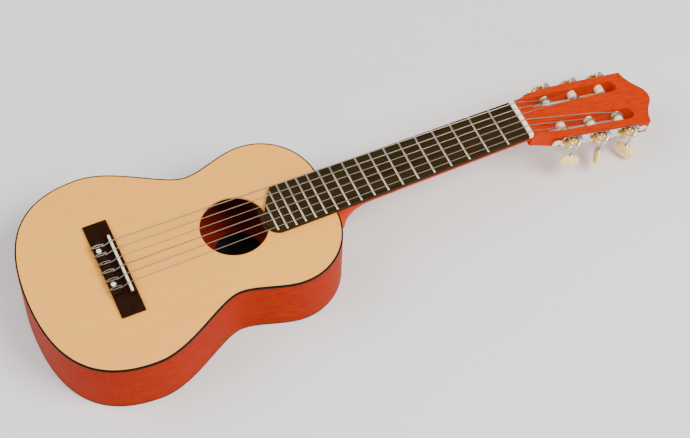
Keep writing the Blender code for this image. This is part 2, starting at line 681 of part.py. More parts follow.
def build_fretboard(neck):
    """The fretboard with its frets driven in, and the nut."""
    end = board_end()
    nut_x = BODY_TO_NUT - CLEARANCE
    plan = np.vstack([end, (nut_x, -board_half(nut_x)), (nut_x, board_half(nut_x))])
    piece = add("fretboard", plate_mesh("fretboard", [plan], CLEARANCE, BOARD_TOP), ROSEWOOD, neck)
    sweep = end[end[:, 1] > BOARD_APEX_Y]
    corner = end[end[:, 1] <= BOARD_APEX_Y][::-1]
    bars = []
    for number in range(1, FRET_COUNT + 1):
        x = fret_position(number)
        edge = board_half(x) - FRET_END_GAP
        bass = edge
        treble = -edge
        if x < -BOARD_BASS_END:
            bass = float(np.interp(x, sweep[::-1, 0], sweep[::-1, 1])) - FRET_WIDTH / 2
        if x < -BOARD_TREBLE_CORNER:
            treble = float(np.interp(x, corner[::-1, 0], corner[::-1, 1])) + FRET_WIDTH / 2
        half = FRET_WIDTH / 2
        floor = BOARD_TOP - FRET_TANG
        shoulder = BOARD_TOP + FRET_SHOULDER
        crown = [(-half, floor), (half, floor), (half, shoulder), (FRET_CREST_HALF, CROWN),
                 (-FRET_CREST_HALF, CROWN), (-half, shoulder)]
        bar = plate_mesh("fret", [crown], -bass, -treble)
        bar.transform(Matrix.Translation((x, 0, 0)) @ Matrix.Rotation(math.radians(90), 4, "X"))
        bars.append(bar)
    combine(piece, cutter(joined_mesh(bars), neck, name="frets"), "UNION")
    room = box_mesh((0.4, 0.3, 0.05), (TAIL_X + BODY_LENGTH - 0.2, 0, BODY_DEPTH + CLEARANCE - 0.025))
    combine(piece, cutter(room, None, name="soundboard_room"))

    nut = add("nut", box_mesh((NUT_LENGTH, NUT_WIDTH, NUT_HEIGHT)), IVORY, neck,
              (BODY_TO_NUT + NUT_LENGTH / 2, 0, CLEARANCE + NUT_HEIGHT / 2))
    round_over = nut.modifiers.new("rounded", "BEVEL")
    round_over.width = NUT_EDGE
    round_over.segments = 1
    for number, radius in enumerate(STRING_RADII):
        slot = rod_mesh(radius + CLEARANCE, -NUT_LENGTH, NUT_LENGTH, 8, "X")
        spot = (0, string_y(number, STRING_SPREAD_NUT), string_height(radius) - CLEARANCE - NUT_HEIGHT / 2)
        tool = cutter(slot, neck, Vector(nut.location) + Vector(spot), name="string_slot")
        combine(nut, tool)
        notch = box_mesh((2 * NUT_LENGTH, 2 * (radius + CLEARANCE), 0.004), (0, 0, 0.002))
        combine(nut, cutter(notch, neck, Vector(nut.location) + Vector(spot), name="string_notch"))


def string_y(number, spread):
    """A string's side position, from treble (0) to bass (5)."""
    return -spread / 2 + spread * number / (len(STRING_RADII) - 1)


def string_height(radius):
    """A string's centre above the neck's flat, at the nut."""
    return CROWN + STRING_OVER_FRETS + radius


def build_bridge(bridge):
    """Bridge with its tie block, saddle and dots. Its frame is at the saddle, on the top."""
    half = BRIDGE_WIDTH / 2
    low = CLEARANCE
    wing = [(-half, low), (half, low), (half, BRIDGE_TIP_THICKNESS), (SADDLE_BLOCK_HALF, BRIDGE_WING_THICKNESS),
            (-SADDLE_BLOCK_HALF, BRIDGE_WING_THICKNESS), (-half, BRIDGE_TIP_THICKNESS)]
    turn = (math.radians(90), 0, math.radians(90))
    piece = add("bridge", plate_mesh("bridge", [wing], -BRIDGE_BACK, SADDLE_FROM_FRONT), ROSEWOOD, bridge,
                rotation=turn)
    front = SADDLE_FROM_FRONT
    saddle_end = front - SADDLE_BLOCK_LENGTH
    inside = BRIDGE_WING_THICKNESS / 2
    block = [(front, inside), (front, BRIDGE_WING_THICKNESS + 0.0006), (front - 0.0016, SADDLE_BLOCK_HEIGHT),
             (saddle_end + 0.0006, SADDLE_BLOCK_HEIGHT), (saddle_end - 0.0006, inside)]
    upright = (math.radians(90), 0, 0)
    tool = plate_mesh("saddle_block", [block], -SADDLE_BLOCK_HALF, SADDLE_BLOCK_HALF)
    combine(piece, cutter(tool, bridge, rotation=upright, name="saddle_block"), "UNION")
    tie_front = -BRIDGE_BACK + TIE_BLOCK_LENGTH
    tie = [(-BRIDGE_BACK, inside), (tie_front, inside), (tie_front, TIE_BLOCK_HEIGHT - 0.0006),
           (tie_front - 0.0008, TIE_BLOCK_HEIGHT), (-BRIDGE_BACK + 0.0008, TIE_BLOCK_HEIGHT),
           (-BRIDGE_BACK, TIE_BLOCK_HEIGHT - 0.0008)]
    tool = plate_mesh("tie_block", [tie], -TIE_BLOCK_HALF, TIE_BLOCK_HALF)
    combine(piece, cutter(tool, bridge, rotation=upright, name="tie_block"), "UNION")
    slot = box_mesh((SADDLE_THICKNESS + 2 * CLEARANCE, 2 * (SADDLE_HALF + CLEARANCE), 0.01),
                    (0, 0, SADDLE_SLOT_FLOOR + 0.005))
    combine(piece, cutter(slot, bridge, name="saddle_slot"))
    for number in range(len(STRING_RADII)):
        hole = rod_mesh(TIE_HOLE_RADIUS, -BRIDGE_BACK - 0.002, tie_front + 0.002, 8, "X")
        spot = (0, string_y(number, STRING_SPREAD_SADDLE), TIE_HOLE_HEIGHT)
        combine(piece, cutter(hole, bridge, spot, name="tie_hole"))
    dot_x = -BRIDGE_BACK + TIE_BLOCK_LENGTH / 2
    dot_y = (string_y(5, STRING_SPREAD_SADDLE) + string_y(4, STRING_SPREAD_SADDLE)) / 2
    for side, sign in (("bass", 1), ("treble", -1)):
        floor = TIE_BLOCK_HEIGHT + DOT_PROUD - DOT_THICKNESS - CLEARANCE
        pocket = rod_mesh(DOT_RADIUS + CLEARANCE, floor, floor + 0.005, 16)
        combine(piece, cutter(pocket, bridge, (dot_x, sign * dot_y, 0), name="dot_pocket"))
        dot = rod_mesh(DOT_RADIUS, 0, DOT_THICKNESS, 16)
        add(f"bridge_dot_{side}", dot, IVORY, bridge, (dot_x, sign * dot_y, floor + CLEARANCE))
    saddle_low = SADDLE_SLOT_FLOOR + CLEARANCE
    profile = [(-SADDLE_THICKNESS / 2, saddle_low), (SADDLE_THICKNESS / 2, saddle_low),
               (SADDLE_THICKNESS / 2, SADDLE_HEIGHT - 0.0008), (0.0004, SADDLE_HEIGHT),
               (-0.0004, SADDLE_HEIGHT), (-SADDLE_THICKNESS / 2, SADDLE_HEIGHT - 0.0008)]
    add("saddle", plate_mesh("saddle", [profile], -SADDLE_HALF, SADDLE_HALF), IVORY, bridge, rotation=upright)


def tie_route(matrix, y, radius):
    """A string's end from its loop on the tie block, through the hole, to the saddle."""
    back = -BRIDGE_BACK
    front = back + TIE_BLOCK_LENGTH
    lie = TIE_BLOCK_HEIGHT + CLEARANCE + radius
    off = CLEARANCE + radius + 0.0003
    spread = LOOP_SPREAD
    local = [
        (back - 0.0002, y - spread * 0.6, lie), (back + TIE_BLOCK_LENGTH / 2, y - spread, lie + 0.0001),
        (front + LOOP_REACH * 0.6, y - spread * 0.7, lie - 0.0002), (front + LOOP_REACH, y, lie - 0.0004),
        (front + LOOP_REACH * 0.6, y + spread * 0.7, lie - 0.0002),
        (back + TIE_BLOCK_LENGTH / 2, y + spread, lie + 0.0001), (back + 0.0006, y + spread * 0.5, lie),
        (back - off, y + spread * 0.3, lie - 0.0010), (back - off - 0.0002, y, TIE_HOLE_HEIGHT + 0.0008),
        (back - off + 0.0002, y, TIE_HOLE_HEIGHT), (front + 0.0002, y, TIE_HOLE_HEIGHT),
        (0.0, y, SADDLE_HEIGHT + CLEARANCE + radius),
    ]
    return [matrix @ Vector(point) for point in local]


def head_route(matrices, number, radius):
    """A string's path from the nut, down its slot and round its roller."""
    bass = number > 2
    sign = 1 if bass else -1
    post = 5 - number if bass else number
    neck, side = matrices["neck"], matrices["bass" if bass else "treble"]
    nut_y = string_y(number, STRING_SPREAD_NUT)
    height = string_height(radius)
    points = [neck @ Vector((BODY_TO_NUT, nut_y, height)), neck @ Vector((BODY_TO_NUT + NUT_LENGTH, nut_y, height))]
    to_side = side.inverted()
    leave = to_side @ points[-1]
    centre = Vector((sign * post * POST_PITCH, 0, -POST_DEPTH))
    land = -SLOT_FROM_EDGE + (0.0012, -0.0036, -0.0048)[post]
    if post == 2:
        leave = Vector((sign * (0.082 - FIRST_POST), 0, radius + 0.0004))
        start = to_side @ points[-1]
        share = abs(leave.x - start.x) / abs(centre.x - start.x)
        leave.y = start.y + (land - start.y) * share
        points.append(side @ leave)
    wrap = (ROLLER_RADIUS + CLEARANCE + radius) / math.cos(math.pi / WRAP_STEPS)
    run = sign * (centre.x - leave.x)
    rise = leave.z - centre.z
    distance = math.hypot(run, rise)
    first = math.atan2(rise, -run) - math.acos(wrap / distance)
    turns = np.linspace(0, WRAP_TURNS, int(WRAP_TURNS * WRAP_STEPS) + 1)
    for turn in turns:
        angle = first - 2 * math.pi * turn
        shift = land + turn * (2 * radius + WRAP_GAP)
        points.append(side @ Vector((centre.x + sign * wrap * math.cos(angle), shift,
                                     centre.z + wrap * math.sin(angle))))
    return points


def least_gap(route, radius):
    """The least clear distance between points of a route that lie half a turn or more apart."""
    points = np.array([tuple(point) for point in route])
    apart = np.linalg.norm(points[:, None] - points[None], axis=2)
    steps = np.abs(np.subtract.outer(np.arange(len(points)), np.arange(len(points))))
    return float(apart[steps >= WRAP_STEPS // 2].min()) - 2 * radius


def build_strings(matrices):
    """Six strings, each one unbroken tube from its loop to its roller."""
    for number, radius in enumerate(STRING_RADII):
        y = string_y(number, STRING_SPREAD_SADDLE)
        route = tie_route(matrices["bridge"], y, radius) + head_route(matrices, number, radius)
        curve = bpy.data.curves.new("string", "CURVE")
        curve.dimensions = "3D"
        curve.bevel_depth = radius
        curve.bevel_resolution = STRING_BEVEL_RESOLUTION
        curve.render_resolution_u = 0
        curve.use_fill_caps = True
        spline = curve.splines.new("POLY")
        spline.points.add(len(route) - 1)
        for point, place_at in zip(spline.points, route):
            point.co = (*place_at, 1.0)
        piece = bpy.data.objects.new(f"string_{number + 1}", curve)
        curve.materials.append(NYLON if number < 3 else SILVER_WOUND)
        PARTS.objects.link(piece)
        gap = least_gap(route, radius)
        print(f"string_{number + 1} winds with a least gap of {gap * 1000:.2f} mm to itself")


def gear_mesh():
    """A toothed wheel about Y whose teeth lean with the worm's lead."""
    inner = GEAR_PITCH_RADIUS - DEDENDUM
    outer = GEAR_PITCH_RADIUS + ADDENDUM
    at_root = (TOOTH_THICKNESS + 2 * FLANK_SLOPE * DEDENDUM / ADDENDUM) / 2 / inner
    at_tip = (TOOTH_THICKNESS - 2 * FLANK_SLOPE) / 2 / outer
    points = []
    for tooth in range(GEAR_TEETH):
        middle = 2 * math.pi * (tooth + 0.5) / GEAR_TEETH
        for radius, angle in ((inner, -at_root), (outer, -at_tip), (outer, at_tip), (inner, at_root)):
            points.append((radius * math.cos(middle + angle), radius * math.sin(middle + angle)))
    bore = circle(0, 0, SPINDLE_RADIUS + CLEARANCE, sides=BORE_SIDES)
    mesh = plate_mesh("gear", [points, bore], -GEAR_THICKNESS / 2, GEAR_THICKNESS / 2)
    mesh.transform(Matrix.Rotation(math.radians(90), 4, "X"))
    lean = LEAD / (2 * math.pi * WORM_PITCH_RADIUS) / GEAR_PITCH_RADIUS
    for vertex in mesh.vertices:
        vertex.co = Matrix.Rotation(lean * vertex.co.y, 3, "Y") @ vertex.co
    return mesh


def thread_mesh():
    """One right-hand worm thread as a closed body, its middle crest at +X."""
    root = WORM_SHAFT_RADIUS - 0.00025
    crest = WORM_RADIUS
    tip = TOOTH_THICKNESS / 2 - FLANK_SLOPE
    foot = TOOTH_THICKNESS / 2 + FLANK_SLOPE * (WORM_PITCH_RADIUS - root) / ADDENDUM
    bottom = -LEAD * WORM_TURNS / 2
    corners = [(root, 0, bottom - foot), (crest, 0, bottom - tip), (crest, 0, bottom + tip), (root, 0, bottom + foot)]
    mesh = bpy.data.meshes.new("thread")
    mesh.from_pydata(corners, [(0, 1), (1, 2), (2, 3), (3, 0)], [])
    holder = bpy.data.objects.new("thread", mesh)
    CUTTERS.objects.link(holder)
    turn = holder.modifiers.new("turn", "SCREW")
    turn.axis = "Z"
    turn.angle = 2 * math.pi
    turn.screw_offset = LEAD
    turn.iterations = WORM_TURNS
    turn.steps = 11
    turn.render_steps = 11
    turn.use_merge_vertices = False
    result = settled(holder)
    bpy.data.objects.remove(holder)
    weld(result, fill=True)
    return result


def roller_mesh():
    """A string post about Y: barrel, journal through the plate and spindle for the gear."""
    inner_end = -(SLOT_FROM_EDGE + SLOT_WIDTH / 2 + ROLLER_IN_WEB)
    spindle_end = GEAR_PLANE + GEAR_THICKNESS / 2
    profile = [(0.0, spindle_end), (SPINDLE_RADIUS, spindle_end), (SPINDLE_RADIUS, JOURNAL_END),
               (JOURNAL_RADIUS, JOURNAL_END), (JOURNAL_RADIUS, -CLEARANCE), (ROLLER_RADIUS, -CLEARANCE),
               (ROLLER_RADIUS, inner_end), (0.0, inner_end)]
    mesh = turned_mesh("roller", profile)
    mesh.transform(Matrix.Rotation(math.radians(-90), 4, "X"))
    return mesh


def plate_outline(sign):
    """A tuner plate's face: a long strip with a waisted, rounded leaf at each end."""
    low, high = -PLATE_BOTTOM, -PLATE_TOP
    middle = (low + high) / 2
    half = PLATE_HEIGHT / 2
    nut_end = -LUG_HALF - 0.0050
    tip_end = 2 * POST_PITCH + WORM_OFFSET + LUG_HALF + 0.0016
    upper = []
    for end, reach in ((nut_end, -PLATE_END), (tip_end, PLATE_END)):
        way = math.copysign(1, reach)
        leaf = [(end, half), (end + way * 0.0022, half * 0.52), (end + way * 0.0050, half * 0.46),
                (end + way * 0.0084, half * 0.66), (end + way * 0.0122, half * 0.44), (end + reach, 0.0)]
        upper.append(leaf if way > 0 else leaf[::-1])
    top = np.array(upper[0] + upper[1])
    whole = np.vstack([top, top[-2:0:-1] * (1, -1)])
    return whole * (sign, 1) + (0, middle)


def build_plate(side_name, sign, side):
    """One plate with three post holes and six bearing lugs for the worms."""
    loops = [plate_outline(sign)]
    for number in range(3):
        loops.append(circle(sign * number * POST_PITCH, -POST_DEPTH, JOURNAL_RADIUS + CLEARANCE, sides=BORE_SIDES))
    mesh = plate_mesh("tuner_plate", loops, -PLATE_FACE, -CLEARANCE)
    piece = add(f"tuner_plate_{side_name}", mesh, NICKEL, side, rotation=(math.radians(90), 0, 0))
    lugs = []
    for number in range(3):
        x = sign * (number * POST_PITCH + WORM_OFFSET)
        for top in (-PLATE_TOP, -PLATE_BOTTOM + LUG_THICKNESS):
            turn = np.linspace(0, math.pi, 7)
            arc = np.stack([x + LUG_HALF * np.cos(turn), GEAR_PLANE + LUG_HALF * np.sin(turn)], axis=1)
            outline = np.vstack([[(x + LUG_HALF, PLATE_FACE - 0.0004)], arc, [(x - LUG_HALF, PLATE_FACE - 0.0004)]])
            bore = circle(x, GEAR_PLANE, WORM_SHAFT_RADIUS + CLEARANCE, sides=BORE_SIDES)
            lugs.append(plate_mesh("lug", [outline, bore], top - LUG_THICKNESS, top))
    combine(piece, cutter(joined_mesh(lugs), side, name="lugs"), "UNION")


def button_mesh():
    """An oval button about Z with a bore for the shaft, its top at the origin."""
    mesh = bpy.data.meshes.new("button")
    work = bmesh.new()
    bmesh.ops.create_uvsphere(work, u_segments=12, v_segments=8, radius=1.0)
    size = (BUTTON_HALF_LENGTH, BUTTON_HALF_THICKNESS, BUTTON_HALF_HEIGHT)
    bmesh.ops.scale(work, vec=size, verts=work.verts)
    bmesh.ops.translate(work, vec=(0, 0, -BUTTON_DEPTH), verts=work.verts)
    work.to_mesh(mesh)
    work.free()
    return mesh


def build_tuners(side_name, sign, side):
    """Rollers, gears, worms and buttons of one side."""
    build_plate(side_name, sign, side)
    shaft_end = -(BUTTON_DEPTH - BUTTON_HALF_HEIGHT) - SHAFT_IN_BUTTON
    for number in range(3):
        label = f"{side_name}_{number + 1}"
        post = (sign * number * POST_PITCH, 0, -POST_DEPTH)
        axis = (sign * (number * POST_PITCH + WORM_OFFSET), GEAR_PLANE, 0)

        roller = add(f"roller_{label}", roller_mesh(), CREAM, side, post)
        spot = Vector(post) + Vector((0, -SLOT_FROM_EDGE + 0.0040, 0))
        reach = ROLLER_RADIUS + 0.002
        combine(roller, cutter(rod_mesh(STRING_HOLE_RADIUS, -reach, reach, 8), side, spot, name="string_hole"))
        add(f"gear_{label}", gear_mesh(), BRASS, side, (post[0], GEAR_PLANE, post[2]))

        facing = math.pi if sign > 0 else 0.0
        worm = add(f"worm_{label}", rod_mesh(WORM_SHAFT_RADIUS, shaft_end, -WORM_TOP), NICKEL, side, axis)
        thread = thread_mesh()
        thread.transform(Matrix.Rotation(facing, 4, "Z"))
        thread.transform(Matrix.Translation((0, 0, -POST_DEPTH)))
        combine(worm, cutter(thread, side, axis, name="thread"), "UNION")

        turn = math.radians(BUTTON_TURNS[side_name][number])
        button = add(f"button_{label}", button_mesh(), CREAM, side, axis, (0, 0, turn))
        soften(button.data, 60.0)
        bore = rod_mesh(WORM_SHAFT_RADIUS + CLEARANCE, shaft_end - CLEARANCE, 0.0, 8)
        combine(button, cutter(bore, side, axis, name="button_bore"))


def build():
    """Set up the frames and build every piece."""
    body = frame("body_frame", (TAIL_X, 0, 0))
    neck = frame("neck_frame", (BODY_END_X, 0, BODY_DEPTH), (0, -NECK_TILT, 0))
    head = frame("head_frame", (BODY_TO_NUT + NUT_SEAT, 0, HEAD_FACE_RISE), (0, HEAD_ANGLE, 0), neck)
    edge = side_edge(FIRST_POST)
    sides = {
        "bass": frame("bass_side", (FIRST_POST, edge, 0), (0, 0, SIDE_TAPER), head),
        "treble": frame("treble_side", (FIRST_POST, -edge, 0), (0, 0, math.pi - SIDE_TAPER), head),
    }
    bridge = frame("bridge_frame", (BODY_END_X - SADDLE_FROM_BODY_END, 0, BODY_DEPTH))
    build_body(body)
    build_neck(neck, head, sides)
    build_fretboard(neck)
    build_bridge(bridge)
    matrices = {"neck": neck[1], "bridge": bridge[1], "bass": sides["bass"][1], "treble": sides["treble"][1]}
    build_strings(matrices)
    build_tuners("bass", 1, sides["bass"])
    build_tuners("treble", -1, sides["treble"])
    print(f"overall length {OVERALL_LENGTH * 1000:.1f} mm")


build()
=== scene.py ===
"""Guitalele: fine surfaces, finishes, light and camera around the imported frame.

Everything is in metres in the frame's own axes: X from tail to head, Y to the bass side, Z up.
"""
import json
import logging
import math
from collections.abc import Callable, Sequence
from dataclasses import dataclass, field
from enum import Enum

import bmesh
import bpy
import numpy as np
from mathutils import Matrix, Vector

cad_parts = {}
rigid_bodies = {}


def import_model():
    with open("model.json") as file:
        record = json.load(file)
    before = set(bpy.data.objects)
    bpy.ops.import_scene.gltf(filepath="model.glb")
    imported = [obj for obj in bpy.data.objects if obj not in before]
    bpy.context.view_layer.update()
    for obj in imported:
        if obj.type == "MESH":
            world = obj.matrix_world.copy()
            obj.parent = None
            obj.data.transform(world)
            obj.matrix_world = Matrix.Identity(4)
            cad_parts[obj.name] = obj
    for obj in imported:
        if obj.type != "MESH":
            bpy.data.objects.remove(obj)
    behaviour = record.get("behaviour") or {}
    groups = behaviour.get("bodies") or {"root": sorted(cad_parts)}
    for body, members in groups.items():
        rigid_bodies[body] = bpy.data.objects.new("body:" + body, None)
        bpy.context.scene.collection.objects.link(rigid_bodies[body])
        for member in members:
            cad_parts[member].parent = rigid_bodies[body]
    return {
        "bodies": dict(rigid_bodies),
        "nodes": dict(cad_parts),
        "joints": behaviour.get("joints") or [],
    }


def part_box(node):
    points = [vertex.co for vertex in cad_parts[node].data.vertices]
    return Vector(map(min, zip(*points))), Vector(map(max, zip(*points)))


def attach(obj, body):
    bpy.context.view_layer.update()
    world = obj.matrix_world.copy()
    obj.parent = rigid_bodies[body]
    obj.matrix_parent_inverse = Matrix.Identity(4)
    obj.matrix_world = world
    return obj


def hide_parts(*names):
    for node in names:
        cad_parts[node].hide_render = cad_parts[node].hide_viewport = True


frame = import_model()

log = logging.getLogger("guitalele")

# The gap between glued neighbours, the soundboard's height over the back, and the fixed body's name.
CLEARANCE = 0.0003
TOP = 0.070
ROOT_BODY = "instrument"

# Points nearer than these are merged: on a new surface, and on a copy of a frame node.
MERGE_DISTANCE = 0.0000005
NODE_MERGE_DISTANCE = 0.000002

# Faces of a node's copy that meet flatter than the first angle are joined; edges sharper than the
# second stay sharp. Both are in degrees.
FLAT_ANGLE = 0.6
SHARP_ANGLE = 35.0


class Side(Enum):
    """The two sides of the head."""

    BASS = "bass"
    TREBLE = "treble"

    @property
    def sign(self) -> int:
        """One on the bass side, minus one on the treble side."""
        return 1 if self is Side.BASS else -1


def smoothed(piece: bpy.types.Object, angle: float = SHARP_ANGLE) -> bpy.types.Object:
    """Shade a mesh smooth and keep the edges sharper than an angle in degrees.

    Args:
        piece: The mesh object.
        angle: Edges sharper than this, in degrees, stay sharp.

    Returns:
        The same object.
    """
    piece.data.shade_smooth()
    piece.data.set_sharp_from_angle(angle=math.radians(angle))
    return piece


def surface(name: str, points: np.ndarray, wrap_rows: bool = False, wrap_columns: bool = True,
            caps: bool = False, angle: float = SHARP_ANGLE) -> bpy.types.Object:
    """Make a mesh object from a grid of points.

    Quads join point (row, column) to its next neighbours. A row or column of equal points
    becomes a pole when the doubles are merged.

    Args:
        name: The piece's name.
        points: Array of shape (rows, columns, 3).
        wrap_rows: Join the last row to the first.
        wrap_columns: Join the last column to the first.
        caps: Close the first and the last row with a face each.
        angle: The sharp-edge angle in degrees.

    Returns:
        The linked object.
    """
    rows, columns = points.shape[:2]
    index = np.arange(rows * columns).reshape(rows, columns)
    here = index if wrap_rows else index[:-1]
    after = np.roll(index, -1, axis=0) if wrap_rows else index[1:]
    quads = np.stack([here, np.roll(here, -1, axis=1), np.roll(after, -1, axis=1), after], axis=-1)
    if not wrap_columns:
        quads = quads[:, :-1]
    faces = quads.reshape(-1, 4).tolist()
    if caps:
        faces += [index[0].tolist(), index[-1].tolist()]
    mesh = bpy.data.meshes.new(name)
    mesh.from_pydata(points.reshape(-1, 3), [], faces)
    work = bmesh.new()
    work.from_mesh(mesh)
    bmesh.ops.remove_doubles(work, verts=work.verts, dist=MERGE_DISTANCE)
    bmesh.ops.recalc_face_normals(work, faces=work.faces)
    work.to_mesh(mesh)
    work.free()
    piece = bpy.data.objects.new(name, mesh)
    bpy.context.scene.collection.objects.link(piece)
    return smoothed(piece, angle)


def bezier(start: Sequence[float], first: Sequence[float], second: Sequence[float], end: Sequence[float],
           steps: int) -> np.ndarray:
    """Points along a cubic: the four control points weighted by (1-t)^3, 3t(1-t)^2, 3t^2(1-t) and t^3.

    Args:
        start: The first point.
        first: The control point that the curve leaves towards.
        second: The control point that it arrives from.
        end: The last point, which isn't among those returned.
        steps: The number of points.

    Returns:
        Array with a row for each point.
    """
    t = np.linspace(0, 1, steps, endpoint=False)[:, None]
    a, b, c, d = (np.asarray(p, float) for p in (start, first, second, end))
    return (1 - t) ** 3 * a + 3 * (1 - t) ** 2 * t * b + 3 * (1 - t) * t ** 2 * c + t ** 3 * d


def spline_through(points: np.ndarray, steps: int) -> np.ndarray:
    """Points on a Catmull-Rom curve: each stretch is a cubic whose end slopes are half the
    distance between the neighbours on both sides.

    Args:
        points: The points that the curve passes, of shape (n, 3).
        steps: The number of points on each stretch.

    Returns:
        Array of shape ((n - 1) * steps + 1, 3).
    """
    padded = np.vstack([2 * points[0] - points[1], points, 2 * points[-1] - points[-2]])
    p0, p1, p2, p3 = (padded[i:len(padded) - 3 + i][:, None] for i in range(4))
    t = np.linspace(0, 1, steps, endpoint=False)[None, :, None]
    runs = 0.5 * (2 * p1 + (p2 - p0) * t + (2 * p0 - 5 * p1 + 4 * p2 - p3) * t ** 2
                  + (3 * p1 - p0 - 3 * p2 + p3) * t ** 3)
    return np.vstack([runs.reshape(-1, 3), points[-1:]])


def settled(piece: bpy.types.Object) -> bpy.types.Object:
    """Apply a piece's modifiers.

    Args:
        piece: The object whose modifiers are applied.

    Returns:
        The same object with its new mesh.
    """
    bpy.context.view_layer.update()
    mesh = bpy.data.meshes.new_from_object(piece.evaluated_get(bpy.context.evaluated_depsgraph_get()))
    piece.modifiers.clear()
    piece.data = mesh
    return piece


def carved(piece: bpy.types.Object, tool: bpy.types.Object) -> bpy.types.Object:
    """Cut a tool's shape out of a piece and remove the tool.

    Args:
        piece: The object that is cut.
        tool: The closed shape that is taken out of it.

    Returns:
        The cut object.
    """
    step = piece.modifiers.new("cut", "BOOLEAN")
    step.solver = "EXACT"
    step.object = tool
    settled(piece)
    bpy.data.objects.remove(tool)
    return smoothed(piece)


def refined(node: str, width: float, segments: int = 2, angle: float = SHARP_ANGLE) -> bpy.types.Object:
    """A merged copy of a frame node with its sharp edges rounded.

    Args:
        node: The node that is copied.
        width: The rounding's width in metres.
        segments: The steps round each edge.
        angle: Edges sharper than this, in degrees, are rounded.

    Returns:
        The linked object.
    """
    mesh = frame["nodes"][node].data.copy()
    work = bmesh.new()
    work.from_mesh(mesh)
    bmesh.ops.remove_doubles(work, verts=work.verts, dist=NODE_MERGE_DISTANCE)
    bmesh.ops.dissolve_limit(work, angle_limit=math.radians(FLAT_ANGLE), verts=work.verts,
                             edges=work.edges)
    work.to_mesh(mesh)
    work.free()
    mesh.materials.clear()
    piece = bpy.data.objects.new(f"{node}_fine", mesh)
    bpy.context.scene.collection.objects.link(piece)
    smoothed(piece, angle)
    edge = piece.modifiers.new("rounded", "BEVEL")
    edge.width = width
    edge.segments = segments
    edge.limit_method = "ANGLE"
    edge.angle_limit = math.radians(angle)
    edge.harden_normals = True
    edge.material = -1
    return piece


class Graph:
    """A Principled material and short calls that add texture nodes to it."""

    def __init__(self, name: str, colour: Sequence[float], roughness: float, metallic: float = 0.0) -> None:
        """Start a material of one colour (linear values)."""
        self.material = bpy.data.materials.new(name)
        self.material.use_nodes = True
        self.tree = self.material.node_tree
        self.shader = self.tree.nodes["Principled BSDF"]
        self.shader.inputs["Base Color"].default_value = (*colour, 1.0)
        self.shader.inputs["Roughness"].default_value = roughness
        self.shader.inputs["Metallic"].default_value = metallic
        self.material.diffuse_color = (*colour, 1.0)

    def node(self, kind: str, **values: object) -> bpy.types.Node:
        """Add a node and set its named inputs.

        Args:
            kind: Blender's name of the node type.
            values: Input values, with an underscore for each space in an input's name.

        Returns:
            The node.
        """
        made = self.tree.nodes.new(kind)
        for key, value in values.items():
            made.inputs[key.replace("_", " ")].default_value = value
        return made

    def link(self, source: bpy.types.NodeSocket, target: bpy.types.NodeSocket) -> None:
        """Join two sockets."""
        self.tree.links.new(source, target)

    def stretched(self, scale: Sequence[float]) -> bpy.types.NodeSocket:
        """Object coordinates scaled by three factors.

        Args:
            scale: The factors along X, Y and Z.

        Returns:
            The scaled coordinates.
        """
        place = self.node("ShaderNodeTexCoord")
        mapping = self.node("ShaderNodeMapping")
        mapping.inputs["Scale"].default_value = scale
        self.link(place.outputs["Object"], mapping.inputs["Vector"])
        return mapping.outputs["Vector"]

    def noise(self, scale: Sequence[float], size: float = 1.0, detail: float = 4.0,
              roughness: float = 0.55) -> bpy.types.NodeSocket:
        """Noise on stretched object coordinates."""
        made = self.node("ShaderNodeTexNoise", Scale=size, Detail=detail, Roughness=roughness)
        self.link(self.stretched(scale), made.inputs["Vector"])
        return made.outputs["Fac"]

    def ramp(self, value: bpy.types.NodeSocket,
             stops: Sequence[tuple[float, Sequence[float]]]) -> bpy.types.NodeSocket:
        """Map a value to colours at stops.

        Args:
            value: The value that is mapped.
            stops: Pairs of position and colour.

        Returns:
            The colour.
        """
        made = self.node("ShaderNodeValToRGB")
        elements = made.color_ramp.elements
        while len(elements) < len(stops):
            elements.new(0.5)
        for element, (position, colour) in zip(elements, stops):
            element.position = position
            element.color = (*colour, 1.0)
        self.link(value, made.inputs["Fac"])
        return made.outputs["Color"]

    def blend(self, factor: bpy.types.NodeSocket | float, first: bpy.types.NodeSocket,
              second: bpy.types.NodeSocket | Sequence[float], how: str = "MIX") -> bpy.types.NodeSocket:
        """Mix two colours.

        Args:
            factor: The second colour's share.
            first: The first colour.
            second: The second colour.
            how: Blender's name of the mixing rule.

        Returns:
            The mixed colour.
        """
        made = self.node("ShaderNodeMix")
        made.data_type = "RGBA"
        made.blend_type = how
        for value, socket in ((factor, made.inputs[0]), (first, made.inputs[6]), (second, made.inputs[7])):
            if isinstance(value, bpy.types.NodeSocket):
                self.link(value, socket)
            elif isinstance(value, float):
                socket.default_value = value
            else:
                socket.default_value = (*value, 1.0)
        return made.outputs[2]

    def colour(self, value: bpy.types.NodeSocket) -> None:
        """Feed the base colour."""
        self.link(value, self.shader.inputs["Base Color"])

    def rough(self, value: bpy.types.NodeSocket, low: float, high: float) -> None:
        """Feed the roughness with a value mapped between two limits.

        Args:
            value: A value from zero to one.
            low: The roughness at zero.
            high: The roughness at one.
        """
        made = self.node("ShaderNodeMapRange")
        made.inputs["To Min"].default_value = low
        made.inputs["To Max"].default_value = high
        self.link(value, made.inputs["Value"])
        self.link(made.outputs["Result"], self.shader.inputs["Roughness"])

    def bump(self, height: bpy.types.NodeSocket, distance: float, strength: float = 1.0) -> None:
        """Feed the normal with a height in metres.

        Args:
            height: The height's pattern.
            distance: The full height in metres.
            strength: The share of the height that shows.
        """
        made = self.node("ShaderNodeBump", Strength=strength, Distance=distance)
        self.link(height, made.inputs["Height"])
        self.link(made.outputs["Normal"], self.shader.inputs["Normal"])


